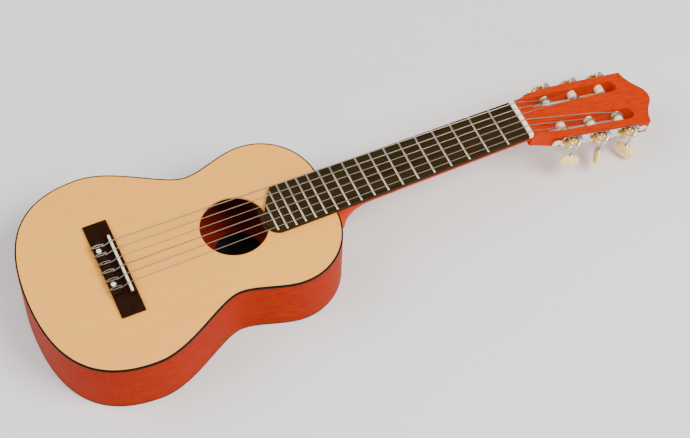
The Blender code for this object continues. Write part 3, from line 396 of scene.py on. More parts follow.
@dataclass(frozen=True)
class Wood:
    """A wood finish: growth lines, slow colour drift and pores along the grain."""

    name: str
    light: tuple[float, float, float]
    dark: tuple[float, float, float]
    drift: tuple[float, float, float]
    roughness: float = 0.4
    coat: float = 0.0
    shine: float = 0.2
    lines_per_metre: float = 700.0
    line_contrast: float = 0.5
    drift_share: float = 0.4
    pore_depth: float = 0.00003
    grain: tuple[float, float, float] = (0.03, 1.0, 1.0)
    line_stops: tuple[float, float, float] = (0.34, 0.52, 0.70)
    drift_stops: tuple[float, float] = (0.38, 0.66)
    drift_along: float = 120.0
    drift_across: float = 14.0
    pores_per_line: float = 3.0
    coat_roughness: float = 0.3
    rough_spread: tuple[float, float] = (0.06, 0.08)
    pore_strength: float = 0.5

    def make(self) -> bpy.types.Material:
        """Build the material.

        Returns:
            The material.
        """
        graph = Graph(self.name, self.light, self.roughness)
        along, across, deep = self.grain
        rate = self.lines_per_metre
        lines = graph.noise((along * rate, across * rate, deep * rate), detail=3.0, roughness=0.6)
        light_share = 0.5 + self.line_contrast / 2
        between = tuple(dark + (light - dark) * light_share for dark, light in zip(self.dark, self.light))
        base = graph.ramp(lines, list(zip(self.line_stops, (self.dark, between, self.light))))
        wide = self.drift_across
        slow = graph.noise((along * self.drift_along, across * wide, deep * wide), detail=2.0,
                           roughness=0.5)
        mask = graph.ramp(slow, list(zip(self.drift_stops, ((0.0,) * 3, (self.drift_share,) * 3))))
        graph.colour(graph.blend(mask, base, self.drift))
        rate *= self.pores_per_line
        pores = graph.noise((along * rate, across * rate, deep * rate), detail=2.0, roughness=0.7)
        graph.bump(pores, self.pore_depth, self.pore_strength)
        below, above = self.rough_spread
        graph.rough(slow, self.roughness - below, self.roughness + above)
        graph.shader.inputs["Specular IOR Level"].default_value = self.shine
        graph.shader.inputs["Coat Weight"].default_value = self.coat
        graph.shader.inputs["Coat Roughness"].default_value = self.coat_roughness
        return graph.material


@dataclass(frozen=True)
class Metal:
    """A plated or bare metal with fine brush marks and dull patches."""

    name: str
    colour: tuple[float, float, float]
    roughness: float = 0.22
    dull_share: float = 0.72
    patch_rate: float = 90.0
    brush_rates: tuple[float, float, float] = (300.0, 2500.0, 2500.0)
    brush_depth: float = 0.000004
    brush_strength: float = 0.4
    dull_stops: tuple[float, float] = (0.3, 0.62)
    rough_spread: tuple[float, float] = (0.08, 0.14)

    def make(self) -> bpy.types.Material:
        """Build the material.

        Returns:
            The material.
        """
        graph = Graph(self.name, self.colour, self.roughness, 1.0)
        dull = graph.noise((self.patch_rate,) * 3, detail=3.0)
        darker = tuple(self.dull_share * c for c in self.colour)
        graph.colour(graph.ramp(dull, list(zip(self.dull_stops, (darker, self.colour)))))
        below, above = self.rough_spread
        graph.rough(dull, self.roughness - below, self.roughness + above)
        graph.bump(graph.noise(self.brush_rates, detail=2.0), self.brush_depth, self.brush_strength)
        return graph.material


@dataclass(frozen=True)
class Plastic:
    """A moulded plastic or bone-like piece with faint mottling."""

    name: str
    colour: tuple[float, float, float]
    shade: tuple[float, float, float]
    roughness: float = 0.32
    glow: float = 0.15
    shine: float = 0.5
    mottle_rate: float = 160.0
    pit_rate: float = 900.0
    pit_depth: float = 0.00001
    pit_strength: float = 0.4
    mottle_stops: tuple[float, float] = (0.34, 0.62)
    rough_spread: tuple[float, float] = (0.05, 0.08)
    glow_reach: tuple[float, float, float] = (0.002, 0.0014, 0.0009)

    def make(self) -> bpy.types.Material:
        """Build the material.

        Returns:
            The material.
        """
        graph = Graph(self.name, self.colour, self.roughness)
        mottle = graph.noise((self.mottle_rate,) * 3, detail=3.0)
        graph.colour(graph.ramp(mottle, list(zip(self.mottle_stops, (self.shade, self.colour)))))
        below, above = self.rough_spread
        graph.rough(mottle, self.roughness - below, self.roughness + above)
        graph.bump(graph.noise((self.pit_rate,) * 3, detail=2.0), self.pit_depth, self.pit_strength)
        graph.shader.inputs["Specular IOR Level"].default_value = self.shine
        graph.shader.inputs["Subsurface Weight"].default_value = self.glow
        graph.shader.inputs["Subsurface Radius"].default_value = self.glow_reach
        graph.shader.inputs["Subsurface Scale"].default_value = 1.0
        return graph.material


@dataclass(frozen=True)
class WoundWire:
    """Silvered wire wound round a core: rings across the string's length, by a wave texture."""

    name: str = "silvered_winding"
    colour: tuple[float, float, float] = (0.36, 0.31, 0.27)
    roughness: float = 0.33
    wave_scale: float = 150.0
    ring_depth: float = 0.00003
    ring_strength: float = 0.6
    patch_rate: float = 60.0
    rough_limits: tuple[float, float] = (0.26, 0.42)

    def make(self) -> bpy.types.Material:
        """Build the material.

        Returns:
            The material.
        """
        graph = Graph(self.name, self.colour, self.roughness, 1.0)
        rings = graph.node("ShaderNodeTexWave", Scale=self.wave_scale)
        rings.bands_direction = "X"
        graph.link(graph.stretched((1.0, 1.0, 1.0)), rings.inputs["Vector"])
        graph.bump(rings.outputs["Fac"], self.ring_depth, self.ring_strength)
        graph.rough(graph.noise((self.patch_rate,) * 3), *self.rough_limits)
        return graph.material


class Finishes:
    """Every material of the instrument, made once."""

    def __init__(self) -> None:
        """Build all the finishes."""
        self.spruce = Wood("spruce_top_satin", (0.97, 0.455, 0.075), (0.94, 0.40, 0.055),
                           (0.98, 0.385, 0.085), roughness=0.5, shine=0.12, lines_per_metre=620.0,
                           line_contrast=0.35, drift_share=0.55, pore_depth=0.00002).make()
        self.raw_spruce = Wood("brace_spruce_raw", (0.60, 0.36, 0.16), (0.47, 0.26, 0.10), (0.50, 0.28, 0.12),
                               roughness=0.75, lines_per_metre=500.0).make()
        self.sides = Wood("side_mahogany_satin", (0.36, 0.022, 0.0003), (0.24, 0.009, 0.0001),
                          (0.27, 0.011, 0.0002), roughness=0.45, shine=0.03, lines_per_metre=420.0,
                          pore_depth=0.00005).make()
        self.inside = Wood("inner_mahogany_raw", (0.30, 0.075, 0.030), (0.20, 0.044, 0.018),
                           (0.24, 0.055, 0.022), roughness=0.72, lines_per_metre=420.0).make()
        self.neck = Wood("neck_mahogany_satin", (0.53, 0.034, 0.0004), (0.41, 0.019, 0.0003),
                         (0.46, 0.024, 0.0003), roughness=0.42, shine=0.04, lines_per_metre=380.0,
                         pore_depth=0.00006).make()
        self.board = Wood("fretboard_rosewood", (0.030, 0.0195, 0.0060), (0.012, 0.0065, 0.0020),
                          (0.034, 0.017, 0.0060), roughness=0.55, shine=0.05, lines_per_metre=560.0,
                          pore_depth=0.00008).make()
        self.bridge = Wood("bridge_rosewood", (0.019, 0.0060, 0.0022), (0.008, 0.0022, 0.0009),
                           (0.021, 0.0075, 0.0030), roughness=0.5, shine=0.05,
                           lines_per_metre=560.0, grain=(1.0, 0.03, 1.0), pore_depth=0.00008).make()
        self.binding = Plastic("edge_binding_black", (0.006, 0.003, 0.002), (0.004, 0.002, 0.0015),
                               roughness=0.34, glow=0.0, shine=0.08).make()
        self.ivory = Plastic("nut_and_saddle_ivory", (1.0, 0.92, 0.70), (0.97, 0.85, 0.60),
                             roughness=0.28).make()
        self.pearl = Plastic("dot_pearl", (0.90, 0.88, 0.86), (0.78, 0.78, 0.82), roughness=0.18).make()
        self.cream = Plastic("button_cream", (1.0, 0.76, 0.28), (0.97, 0.66, 0.20), roughness=0.26,
                             glow=0.1).make()
        self.roller = Plastic("roller_cream", (1.0, 0.85, 0.55), (0.96, 0.78, 0.45), roughness=0.35).make()
        self.nickel = Metal("plate_nickel", (0.86, 0.84, 0.80), roughness=0.2).make()
        self.steel = Metal("worm_steel", (0.62, 0.61, 0.60), roughness=0.28).make()
        self.fret_metal = Metal("fret_nickel_silver", (0.86, 0.78, 0.60), roughness=0.3).make()
        self.brass = Metal("gear_brass", (0.90, 0.56, 0.16)).make()
        self.nylon = Plastic("clear_nylon", (0.22, 0.17, 0.13), (0.18, 0.14, 0.11), roughness=0.28,
                             glow=0.1, shine=0.3).make()
        self.wound = WoundWire().make()
        # The label is painted near black as painted shade for the dark inside of the body.
        self.label = Plastic("label_painted_shade", (0.010, 0.010, 0.011), (0.007, 0.007, 0.008),
                             roughness=0.62, glow=0.0, shine=0.2).make()


def dress(piece: bpy.types.Object, finish: bpy.types.Material, body: str = ROOT_BODY,
          replaces: Sequence[str] = ()) -> bpy.types.Object:
    """Give a piece its finish, record its body, and say which nodes it stands for.

    Args:
        piece: The object.
        finish: Its material.
        body: The body that it rides on.
        replaces: The frame nodes that it stands for.

    Returns:
        The same object.
    """
    piece.data.materials.clear()
    piece.data.materials.append(finish)
    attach(piece, body)
    if replaces:
        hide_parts(*replaces)
    log.info("%s rides on %s", piece.name, body)
    return piece


@dataclass
class BodyShell:
    """Soundboard, back, bent sides and edge bindings on one plan."""

    finishes: Finishes
    tail_x: float = field(default_factory=lambda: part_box("top_binding")[0].x)
    length: float = 0.317
    lower: tuple[float, float] = (0.0925, 0.1144)
    waist: tuple[float, float] = (0.1925, 0.0741)
    upper: tuple[float, float] = (0.2557, 0.0880)
    seat_half: float = 0.024
    tail_handle: float = 0.074
    lower_handles: tuple[float, float] = (0.0645, 0.037)
    waist_handles: tuple[float, float] = (0.022, 0.0195)
    upper_handles: tuple[float, float] = (0.0225, 0.034)
    shoulder_handle: float = 0.0355
    rib_thickness: float = 0.0019
    top_edge: tuple[float, float] = (0.0016, 0.0024)
    back_edge: tuple[float, float] = (0.0012, 0.0024)
    plate_thickness: float = 0.0025
    hole_station: float = 0.2160
    hole_radius: float = 0.0345
    hole_lip: float = 0.0004
    corner_share: float = 0.45
    skin_gap: float = 0.00002
    skin_thickness: float = 0.0001
    steps: int = 44
    seat_steps: int = 8

    def half_plan(self) -> tuple[np.ndarray, np.ndarray]:
        """The bass half from the tail to the neck seat: four cubics and the flat seat.

        Returns:
            Points of shape (n, 2) and inward unit normals of the same shape.
        """
        bouts = (self.lower, self.waist, self.upper)
        handles = (self.lower_handles, self.waist_handles, self.upper_handles)
        knots = [(0.0, 0.0), *bouts, (self.length, self.seat_half)]
        leaving = [(0, self.tail_handle), *((after, 0) for _, after in handles)]
        arriving = [*((-before, 0) for before, _ in handles), (0, self.shoulder_handle)]
        runs = [bezier(start, np.add(start, out), np.add(end, back), end, self.steps)
                for start, out, back, end in zip(knots, leaving, arriving, knots[1:])]
        points = np.vstack([*runs, np.linspace(knots[-1], (self.length, 0.0), self.seat_steps)])
        along = np.gradient(points, axis=0)
        along[0] = (0, 1)
        along[-1] = (0, -1)
        along /= np.linalg.norm(along, axis=1)[:, None]
        return points, np.stack([along[:, 1], -along[:, 0]], axis=1)

    def whole_plan(self) -> tuple[np.ndarray, np.ndarray]:
        """Both halves as one loop of points and inward normals."""
        points, inward = self.half_plan()
        mirror = (1, -1)
        return (np.vstack([points, points[-2:0:-1] * mirror]), np.vstack([inward, inward[-2:0:-1] * mirror]))

    def carried(self, points: np.ndarray, inward: np.ndarray, profile: np.ndarray) -> np.ndarray:
        """Carry a profile of (inset, height) round the plan: place = point + inset x inward normal.

        Args:
            points: The plan's points, of shape (n, 2).
            inward: Their inward unit normals.
            profile: Pairs of inset and height, of shape (m, 2).

        Returns:
            Array of shape (n, m, 3).
        """
        flat = points[:, None] + profile[None, :, :1] * inward[:, None]
        height = np.broadcast_to(profile[None, :, 1:], (*flat.shape[:2], 1))
        grid = np.concatenate([flat, height], axis=2)
        return grid + (self.tail_x, 0, 0)

    def edge_profile(self, width: float, low: float, high: float, rounded_high: bool) -> np.ndarray:
        """A rectangle of (inset, height) whose outer corner is a quarter circle.

        Args:
            width: The band's width on the face.
            low: Its lower height.
            high: Its upper height.
            rounded_high: Round the upper outer corner, not the lower one.

        Returns:
            Pairs of inset and height.
        """
        radius = self.corner_share * width
        turn = np.linspace(0, math.pi / 2, 5)
        arc = np.stack([radius - radius * np.cos(turn), radius * np.sin(turn) - radius], axis=1)
        if rounded_high:
            return np.vstack([(0, low), arc + (0, high), (width, high), (width, low)])
        return np.vstack([(0, high), arc * (1, -1) + (0, low), (width, low), (width, high)])

    def plate(self, name: str, inset: float, low: float, high: float, hole: float) -> bpy.types.Object:
        """A plate as a fan of radial runs from the hole's rim, or from one point, to the plan's edge.

        Each run goes round the section: rim below, rim above, the face, the edge above and below.

        Args:
            name: The piece's name.
            inset: The distance from the plan's edge to the plate's.
            low: The lower face's height.
            high: The upper face's height.
            hole: The hole's radius, or zero for none.

        Returns:
            The linked object.
        """
        points, inward = self.whole_plan()
        edge = points + inset * inward
        centre = np.array((self.hole_station, 0.0))
        ray = edge - centre
        unit = ray / np.linalg.norm(ray, axis=1)[:, None]
        lip = self.hole_lip if hole else 0.0
        stops = [(hole, 0.0, low), (hole, 0.0, high - lip), (hole + lip, 0.0, high), (hole + lip, 0.35, high),
                 (hole + lip, 0.7, high), (hole + lip, 1.0, high), (hole + lip, 1.0, low)]
        columns = []
        for radius, share, height in stops:
            rim = centre + radius * unit
            flat = rim + share * (edge - rim)
            columns.append(np.column_stack([flat, np.full(len(flat), height)]))
        grid = np.stack(columns, axis=1) + (self.tail_x, 0, 0)
        if hole:
            return surface(name, grid, wrap_rows=True)
        grid = np.concatenate([grid, grid[:, :1]], axis=1)
        return surface(name, grid, wrap_rows=True, wrap_columns=False)

    def wall_section(self, start: float, end: float) -> np.ndarray:
        """A wall's section between two insets, from the back's edge line up to the top's."""
        low = self.back_edge[1]
        high = TOP - self.top_edge[1]
        return np.array([(start, low), (start, high), (end, high), (end, low)])

    def build(self) -> None:
        """Build and dress the shell."""
        f = self.finishes
        top = self.plate("soundboard_fine", self.top_edge[0] + CLEARANCE / 4, TOP - self.plate_thickness,
                         TOP, self.hole_radius)
        dress(top, f.spruce, replaces=["soundboard"])
        back = self.plate("back_plate_fine", self.back_edge[0] + CLEARANCE / 4, 0.0,
                          self.plate_thickness, 0.0)
        dress(back, f.sides, replaces=["back_plate"])
        points, inward = self.whole_plan()
        bindings = {
            "top_binding": self.edge_profile(self.top_edge[0], TOP - self.top_edge[1], TOP, True),
            "back_binding": self.edge_profile(self.back_edge[0], 0.0, self.back_edge[1], False),
        }
        for name, profile in bindings.items():
            binding = surface(f"{name}_fine", self.carried(points, inward, profile), wrap_rows=True)
            dress(binding, f.binding, replaces=[name])
        half, normal = self.half_plan()
        half[0] += (0, CLEARANCE / 3)
        half[-1] += (0, CLEARANCE / 3)
        skin_start = self.rib_thickness + self.skin_gap
        wall = self.carried(half, normal, self.wall_section(0.0, self.rib_thickness))
        skin_end = skin_start + self.skin_thickness
        skin = self.carried(half, normal, self.wall_section(skin_start, skin_end))
        for side in Side:
            mirror = (1, side.sign, 1)
            rib = surface(f"rib_{side.value}_fine", wall * mirror, caps=True)
            dress(rib, f.sides, replaces=[f"rib_{side.value}"])
            inner = surface(f"rib_inner_face_{side.value}", skin * mirror, caps=True)
            dress(inner, f.inside)


@dataclass
class InnerParts:
    """Frame nodes inside the body, whose shapes are right and which only get a finish."""

    finishes: Finishes

    def build(self) -> None:
        """Dress the blocks, braces, linings, patch and label."""
        f = self.finishes
        for name, node in frame["nodes"].items():
            if "lining" in name or "brace" in name or name == "bridge_patch":
                self.cover(node, f.raw_spruce)
            if name.endswith("_block"):
                self.cover(node, f.inside)
            if name == "label":
                self.cover(node, f.label)

    def cover(self, node: bpy.types.Object, finish: bpy.types.Material) -> None:
        """Put one finish in a node's first material slot."""
        node.data.materials.clear()
        node.data.materials.append(finish)


@dataclass
class NeckAndBoard:
    """Neck with its slotted head, fretboard, frets and nut."""

    finishes: Finishes
    scale_length: float = 0.433
    frets: int = 18
    pitch: float = 0.013
    body_end_x: float = field(default_factory=lambda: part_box("top_binding")[1].x)
    width_at_body: float = 0.0520
    width_at_nut: float = 0.0476
    board_thickness: float = 0.0045
    bass_end: float = 0.0521
    treble_corner: float = 0.0580
    apex: tuple[float, float] = (0.0727, -0.0115)
    end_chamfer: tuple[float, float] = (0.0004, 0.0003)
    fret_width: float = 0.0021
    fret_height: float = 0.0009
    fret_leg: float = 0.0006
    fret_end_insets: tuple[float, ...] = (0.0001, 0.0003, 0.0006)
    fret_end_lifts: tuple[float, ...] = (0.35, 0.8, 1.0)

    @property
    def to_nut(self) -> float:
        """The distance from the body's end to the nut: half the scale for a joint at fret 12."""
        return self.scale_length / 2

    def matrix(self) -> Matrix:
        """The neck's own frame: its flat rises towards the nut."""
        return (Matrix.Translation((self.body_end_x, 0, TOP))
                @ Matrix.Rotation(-math.atan(self.pitch), 4, "Y"))

    def half(self, x: np.ndarray | float) -> np.ndarray | float:
        """Half the board's width, which narrows evenly towards the nut."""
        slope = (self.width_at_body - self.width_at_nut) / 2 / self.to_nut
        return self.width_at_body / 2 - slope * x

    def end_curve(self, steps: int = 24) -> np.ndarray:
        """The board's end from its bass corner over the apex to its treble edge, as two cubics.

        Args:
            steps: The number of points on each cubic.

        Returns:
            Array of shape (2 * steps + 1, 2).
        """
        bass = np.array((-self.bass_end, self.half(-self.bass_end)))
        apex = np.array((-self.apex[0], self.apex[1]))
        treble = np.array((-self.treble_corner, -self.half(-self.treble_corner)))
        sweep = bezier(bass, bass + (-0.006, -0.010), apex + (0.001, 0.011), apex, steps)
        turn = bezier(apex, apex + (-0.0004, -0.0085), treble + (-0.0085, 0.0), treble, steps)
        return np.vstack([sweep, turn, treble])

    def board(self) -> bpy.types.Object:
        """The board as runs from the end curve to the nut.

        Each point of the end curve keeps its share of the width, from bass to treble, all the way.

        Returns:
            The linked object.
        """
        end = self.end_curve()
        nut_x = self.to_nut - CLEARANCE
        share = end[:, 1] / self.half(end[:, 0])
        far = np.stack([np.full(len(end), nut_x), share * self.half(nut_x)], axis=1)
        low, high = CLEARANCE, CLEARANCE + self.board_thickness
        inset, drop = self.end_chamfer
        middle = end + 0.5 * (far - end)
        inner = end + (inset, 0.0)
        rows = [np.column_stack([flat, np.full(len(flat), height)]) for flat, height in
                ((end, low), (end, high - drop), (inner, high), (middle, high), (far, high), (far, low))]
        grid = np.stack(rows, axis=0)
        return surface("fretboard_fine", grid, wrap_rows=True, wrap_columns=False, angle=30.0)

    def closed_sides(self, piece: bpy.types.Object) -> bpy.types.Object:
        """Close the two long open edges of the board with a face each.

        Args:
            piece: The open board.

        Returns:
            The same object, closed.
        """
        work = bmesh.new()
        work.from_mesh(piece.data)
        bmesh.ops.holes_fill(work, edges=[e for e in work.edges if e.is_boundary], sides=0)
        bmesh.ops.recalc_face_normals(work, faces=work.faces)
        work.to_mesh(piece.data)
        work.free()
        return smoothed(piece, 30.0)

    def fret(self, number: int) -> bpy.types.Object:
        """One fret: a half-ellipse crown above two straight legs, carried across the board.

        The ends taper down over the last half millimetre.

        Args:
            number: The fret's number from the nut.

        Returns:
            The linked object.
        """
        x = self.to_nut - self.scale_length * (1 - 2 ** (-number / 12))
        end = self.end_curve(60)
        bass, treble = self.half(x), -self.half(x)
        corner = int(np.argmax(end[:, 1] <= self.apex[1]))
        inset = self.fret_width / 2
        if x < -self.bass_end:
            bass = float(np.interp(x, end[:corner][::-1, 0], end[:corner][::-1, 1])) - inset
        if x < -self.treble_corner:
            treble = float(np.interp(x, end[corner:, 0], end[corner:, 1])) + inset
        turn = np.linspace(0, math.pi, 11)
        base = CLEARANCE + self.board_thickness
        across = np.concatenate([[inset], inset * np.cos(turn), [-inset]])
        up = np.concatenate([[-self.fret_leg], self.fret_height * np.sin(turn), [-self.fret_leg]])
        insets = np.array(self.fret_end_insets)
        stations = np.concatenate([bass - insets, [(bass + treble) / 2], treble + insets[::-1]])
        lift = np.array([*self.fret_end_lifts, 1.0, *self.fret_end_lifts[::-1]])
        grid = np.empty((len(stations), len(across), 3))
        grid[..., 0] = x + across[None]
        grid[..., 1] = stations[:, None]
        grid[..., 2] = base + np.where(up > 0, up * lift[:, None], up)
        return surface(f"fret_{number}", grid, caps=True, angle=50.0)

    def build(self) -> None:
        """Build and dress the neck's pieces."""
        f = self.finishes
        neck = refined("neck", 0.0007, 3)
        dress(neck, f.neck, replaces=["neck"])
        board = self.closed_sides(self.board())
        board.data.transform(self.matrix())
        dress(board, f.board, replaces=["fretboard"])
        for number in range(1, self.frets + 1):
            bar = self.fret(number)
            bar.data.transform(self.matrix())
            dress(bar, f.fret_metal)
        dress(refined("nut", 0.0004, 3), f.ivory, replaces=["nut"])


@dataclass
class TieBridge:
    """Bridge, saddle and dots."""

    finishes: Finishes
    saddle_x: float = field(default_factory=lambda: (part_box("saddle")[0].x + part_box("saddle")[1].x) / 2)
    dot_radius: float = 0.0025
    dot_drop: float = 0.0002

    def dot(self, side: Side) -> bpy.types.Object:
        """A dot as a shallow dome: height falls with the fourth power of the radius.

        Args:
            side: The side of the bridge that it lies on.

        Returns:
            The linked object.
        """
        low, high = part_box(f"bridge_dot_{side.value}")
        centre = (low + high) / 2
        share = np.linspace(0, 1, 9)[:, None]
        turn = np.linspace(0, 2 * math.pi, 36, endpoint=False)[None]
        radius = self.dot_radius * share
        z = high.z - self.dot_drop * share ** 4 + 0 * turn
        dome = np.stack([centre.x + radius * np.cos(turn), centre.y + radius * np.sin(turn), z], axis=2)
        foot = dome[-1:].copy()
        foot[..., 2] = low.z
        pole = np.broadcast_to(np.array((centre.x, centre.y, low.z)), foot.shape)
        return surface(f"bridge_dot_{side.value}_fine", np.concatenate([dome, foot, pole]))

    def build(self) -> None:
        """Build and dress the bridge's pieces."""
        f = self.finishes
        dress(refined("bridge", 0.0003, 2), f.bridge, replaces=["bridge"])
        dress(refined("saddle", 0.00035, 3), f.ivory, replaces=["saddle"])
        for side in Side:
            dress(self.dot(side), f.pearl, replaces=[f"bridge_dot_{side.value}"])


@dataclass
class SideFrame:
    """One side of the head, worked out from its joints: along the edge, outward and up."""

    side: Side
    pitch: float = 0.0354

    def __post_init__(self) -> None:
        """Read the first post's place and the axes."""
        joints = {joint["name"]: joint for joint in frame["joints"]}
        post = joints[f"turn_post_{self.side.value}_1"]
        worm = joints[f"turn_button_{self.side.value}_1"]
        self.outward = Vector(post["axis"]).normalized()
        self.normal = Vector(worm["axis"]).normalized()
        self.along = self.outward.cross(self.normal).normalized()
        self.post = Vector(post["pos_m"])
        self.worm = Vector(worm["pos_m"])

    def matrix(self, origin: Vector) -> Matrix:
        """The frame's axes about a point."""
        rotation = Matrix((self.along, self.outward, self.normal)).transposed().to_4x4()
        return Matrix.Translation(origin) @ rotation

    def step(self, number: int) -> Vector:
        """The way from the first machine to another one."""
        return self.along * (self.side.sign * self.pitch * (number - 1))


def turned(name: str, profile: Sequence[tuple[float, float]], sides: int = 48) -> bpy.types.Object:
    """A profile of (radius, height) turned about Y: x = r cos a, z = r sin a, y = height.

    Args:
        name: The piece's name.
        profile: Pairs of radius and height.
        sides: The number of steps round the axis.

    Returns:
        The linked object.
    """
    line = np.array(profile, float)
    turn = np.linspace(0, 2 * math.pi, sides, endpoint=False)
    grid = np.empty((len(line), sides, 3))
    grid[..., 0] = line[:, :1] * np.cos(turn)
    grid[..., 1] = line[:, 1:]
    grid[..., 2] = line[:, :1] * np.sin(turn)
    return surface(name, grid)


@dataclass
class TuningMachines:
    """Plates, rollers, gear wheels, worms, buttons and their screws."""

    finishes: Finishes
    roller_radius: float = 0.00475
    roller_inner: float = -0.02885
    roller_rim: float = 0.0003
    roller_middle: float = -0.012
    string_hole_place: float = -0.0114
    string_hole_radius: float = 0.0010
    string_hole_half: float = 0.008
    spindle_radius: float = 0.0016
    spindle_play: float = 0.00005
    journal_radius: float = 0.0026
    journal_end: float = -0.0008
    teeth: int = 14
    steps_per_tooth: int = 24
    gear_pitch: float = 0.0069
    gear_thickness: float = 0.0028
    addendum: float = 0.0007
    dedendum: float = 0.00095
    tooth: float = 0.00115
    flank: float = 0.0005
    gear_edge: float = 0.00018
    gear_hub: float = 0.0034
    gear_web: tuple[float, float] = (0.0036, 0.0050)
    gear_rim: float = 0.0052
    gear_dish: float = 0.0003
    worm_pitch: float = 0.0023
    worm_shaft: float = 0.00135
    worm_top: float = -0.0004
    worm_rim: float = 0.0003
    worm_rows: int = 190
    thread_reach: float = 0.0048
    thread_leads: float = 1.15
    thread_fade: float = 0.0008
    gear_plane: float = 0.0048
    plate_face: float = 0.0015
    post_depth: float = 0.0085
    worm_end: float = -0.0365
    button_depth: float = 0.0375
    button_half: tuple[float, float, float] = (0.0112, 0.0036, 0.0080)
    button_power: float = 0.86
    collar_line: tuple[tuple[float, float], ...] = (
        (0.0019, 0.0030), (0.0021, 0.0026), (0.0021, 0.0008), (0.0028, 0.0002), (0.0030, -0.0010))
    gear_screw: tuple[float, float] = (0.0026, 0.0011)
    plate_screw: tuple[float, float] = (0.0016, 0.0008)
    plate_screw_places: tuple[float, ...] = (-0.0125, 0.0205, 0.0560, 0.0895)
    screw_drop: float = 0.55
    screw_slot: tuple[float, float] = (0.13, 0.5)
    screw_seat: float = 0.0002
    button_turns: dict[Side, tuple[float, ...]] = field(default_factory=lambda: {
        Side.BASS: (20.0, 70.0, -35.0), Side.TREBLE: (-14.0, 58.0, 118.0)})

    @property
    def lead(self) -> float:
        """The worm's advance in one turn: one tooth along the pitch circle."""
        return 2 * math.pi * self.gear_pitch / self.teeth

    def barrel(self, name: str) -> bpy.types.Object:
        """The string post's barrel with rounded rims and a cross hole for the string.

        Args:
            name: The piece's name.

        Returns:
            The linked object.
        """
        r, inner, rim = self.roller_radius, self.roller_inner, self.roller_rim
        piece = turned(name, [(0, -CLEARANCE), (r - rim, -CLEARANCE), (r, -CLEARANCE - rim),
                              (r, self.roller_middle), (r, inner + rim), (r - rim, inner), (0, inner)])
        bore, reach = self.string_hole_radius, self.string_hole_half
        hole = turned(f"{name}_hole", [(0, reach), (bore, reach), (bore, -reach), (0, -reach)], 20)
        across = Matrix.Rotation(math.radians(90), 4, "X")
        hole.data.transform(Matrix.Translation((0, self.string_hole_place, 0)) @ across)
        return carved(piece, hole)

    def axle(self, name: str) -> bpy.types.Object:
        """The steel pin from the barrel through the plate to the gear.

        Args:
            name: The piece's name.

        Returns:
            The linked object.
        """
        start = self.gear_plane - self.gear_thickness / 2 - CLEARANCE
        end = self.gear_plane + self.gear_thickness / 2
        return turned(name, [(0, end), (self.spindle_radius, end), (self.spindle_radius, start),
                             (self.journal_radius, start), (self.journal_radius, self.journal_end),
                             (0, self.journal_end)], 32)

    def gear(self, name: str) -> bpy.types.Object:
        """The toothed wheel.

        The radius is a trapezoid wave round the turn, clipped between root and tip circle, and the
        whole profile turns with the height so that the teeth lean with the worm's lead.

        Args:
            name: The piece's name.

        Returns:
            The linked object.
        """
        sides = self.teeth * self.steps_per_tooth
        turn = np.linspace(0, 2 * math.pi, sides, endpoint=False)
        root = self.gear_pitch - self.dedendum
        tip = self.gear_pitch + self.addendum
        phase = (turn * self.teeth / (2 * math.pi)) % 1 - 0.5
        half = self.tooth / 2 / self.lead
        slope = self.flank / self.lead
        height = (half + slope - np.abs(phase)) / (2 * slope)
        outer = root + (tip - root) * np.clip(height, 0, 1)
        edge = self.gear_edge
        face = self.gear_thickness / 2
        floor = face - self.gear_dish
        bore = self.spindle_radius + self.spindle_play
        web_start, web_end = self.gear_web
        rings = [(bore, -face), (outer - edge, -face), (outer, -face + edge), (outer, face - edge),
                 (outer - edge, face), (self.gear_rim, face), (web_end, floor), (web_start, floor),
                 (self.gear_hub, face), (bore, face)]
        lean = self.lead / (2 * math.pi * self.worm_pitch) / self.gear_pitch
        grid = np.empty((len(rings), sides, 3))
        for row, (radius, y) in enumerate(rings):
            angle = turn - lean * y
            grid[row] = np.stack([radius * np.cos(angle), np.full(sides, y), -radius * np.sin(angle)], axis=1)
        return surface(name, grid, wrap_rows=True)

    def worm(self, name: str, facing: float) -> bpy.types.Object:
        """The worm shaft: radius = shaft + ridge, where the ridge is a trapezoid of height + phase.

        The phase advances one lead per turn, and the ridge fades out past two and a half turns.

        Args:
            name: The piece's name.
            facing: The angle at which a ridge meets the gear, in radians.

        Returns:
            The linked object.
        """
        sides = 40
        turn = np.linspace(0, 2 * math.pi, sides, endpoint=False)[None]
        thread_half = self.thread_leads * self.lead
        fine = np.linspace(-self.post_depth + self.thread_reach, -self.post_depth - self.thread_reach,
                           self.worm_rows)
        top = self.worm_top
        z = np.concatenate([[top, top, top - self.worm_rim], fine, [self.worm_end]])[:, None]
        offset = z + self.post_depth - (turn - facing) / (2 * math.pi) * self.lead
        phase = (offset / self.lead + 0.5) % 1 - 0.5
        reach = self.tooth / 2 + self.flank - np.abs(phase) * self.lead
        fade = np.clip((thread_half + self.tooth - np.abs(z + self.post_depth)) / self.thread_fade,
                       0, 1)
        height = np.clip(reach / (2 * self.flank), 0, 1) * fade
        crest = self.worm_pitch + self.addendum - self.worm_shaft
        radius = self.worm_shaft + crest * height
        radius[0] = 0.0
        radius[1] = self.worm_shaft - self.worm_rim
        grid = np.stack([radius * np.cos(turn), radius * np.sin(turn), z + 0 * turn], axis=2)
        foot = grid[-1:].copy()
        foot[..., :2] = 0.0
        return surface(name, np.concatenate([grid, foot]), angle=40.0)

    def button(self, name: str, angle: float) -> bpy.types.Object:
        """An oval button: a sphere drawn out to three half sizes, each cosine raised to a power
        a little under one, so that the middle is fuller than an ellipsoid.

        Args:
            name: The piece's name.
            angle: Its turn about the shaft, in degrees.

        Returns:
            The linked object.
        """
        tilt = np.linspace(math.pi / 2, -math.pi / 2, 33)[:, None]
        turn = np.linspace(0, 2 * math.pi, 56, endpoint=False)[None]

        def full(value: np.ndarray) -> np.ndarray:
            """A value's size to the power, with its sign kept."""
            return np.sign(value) * np.abs(value) ** self.button_power

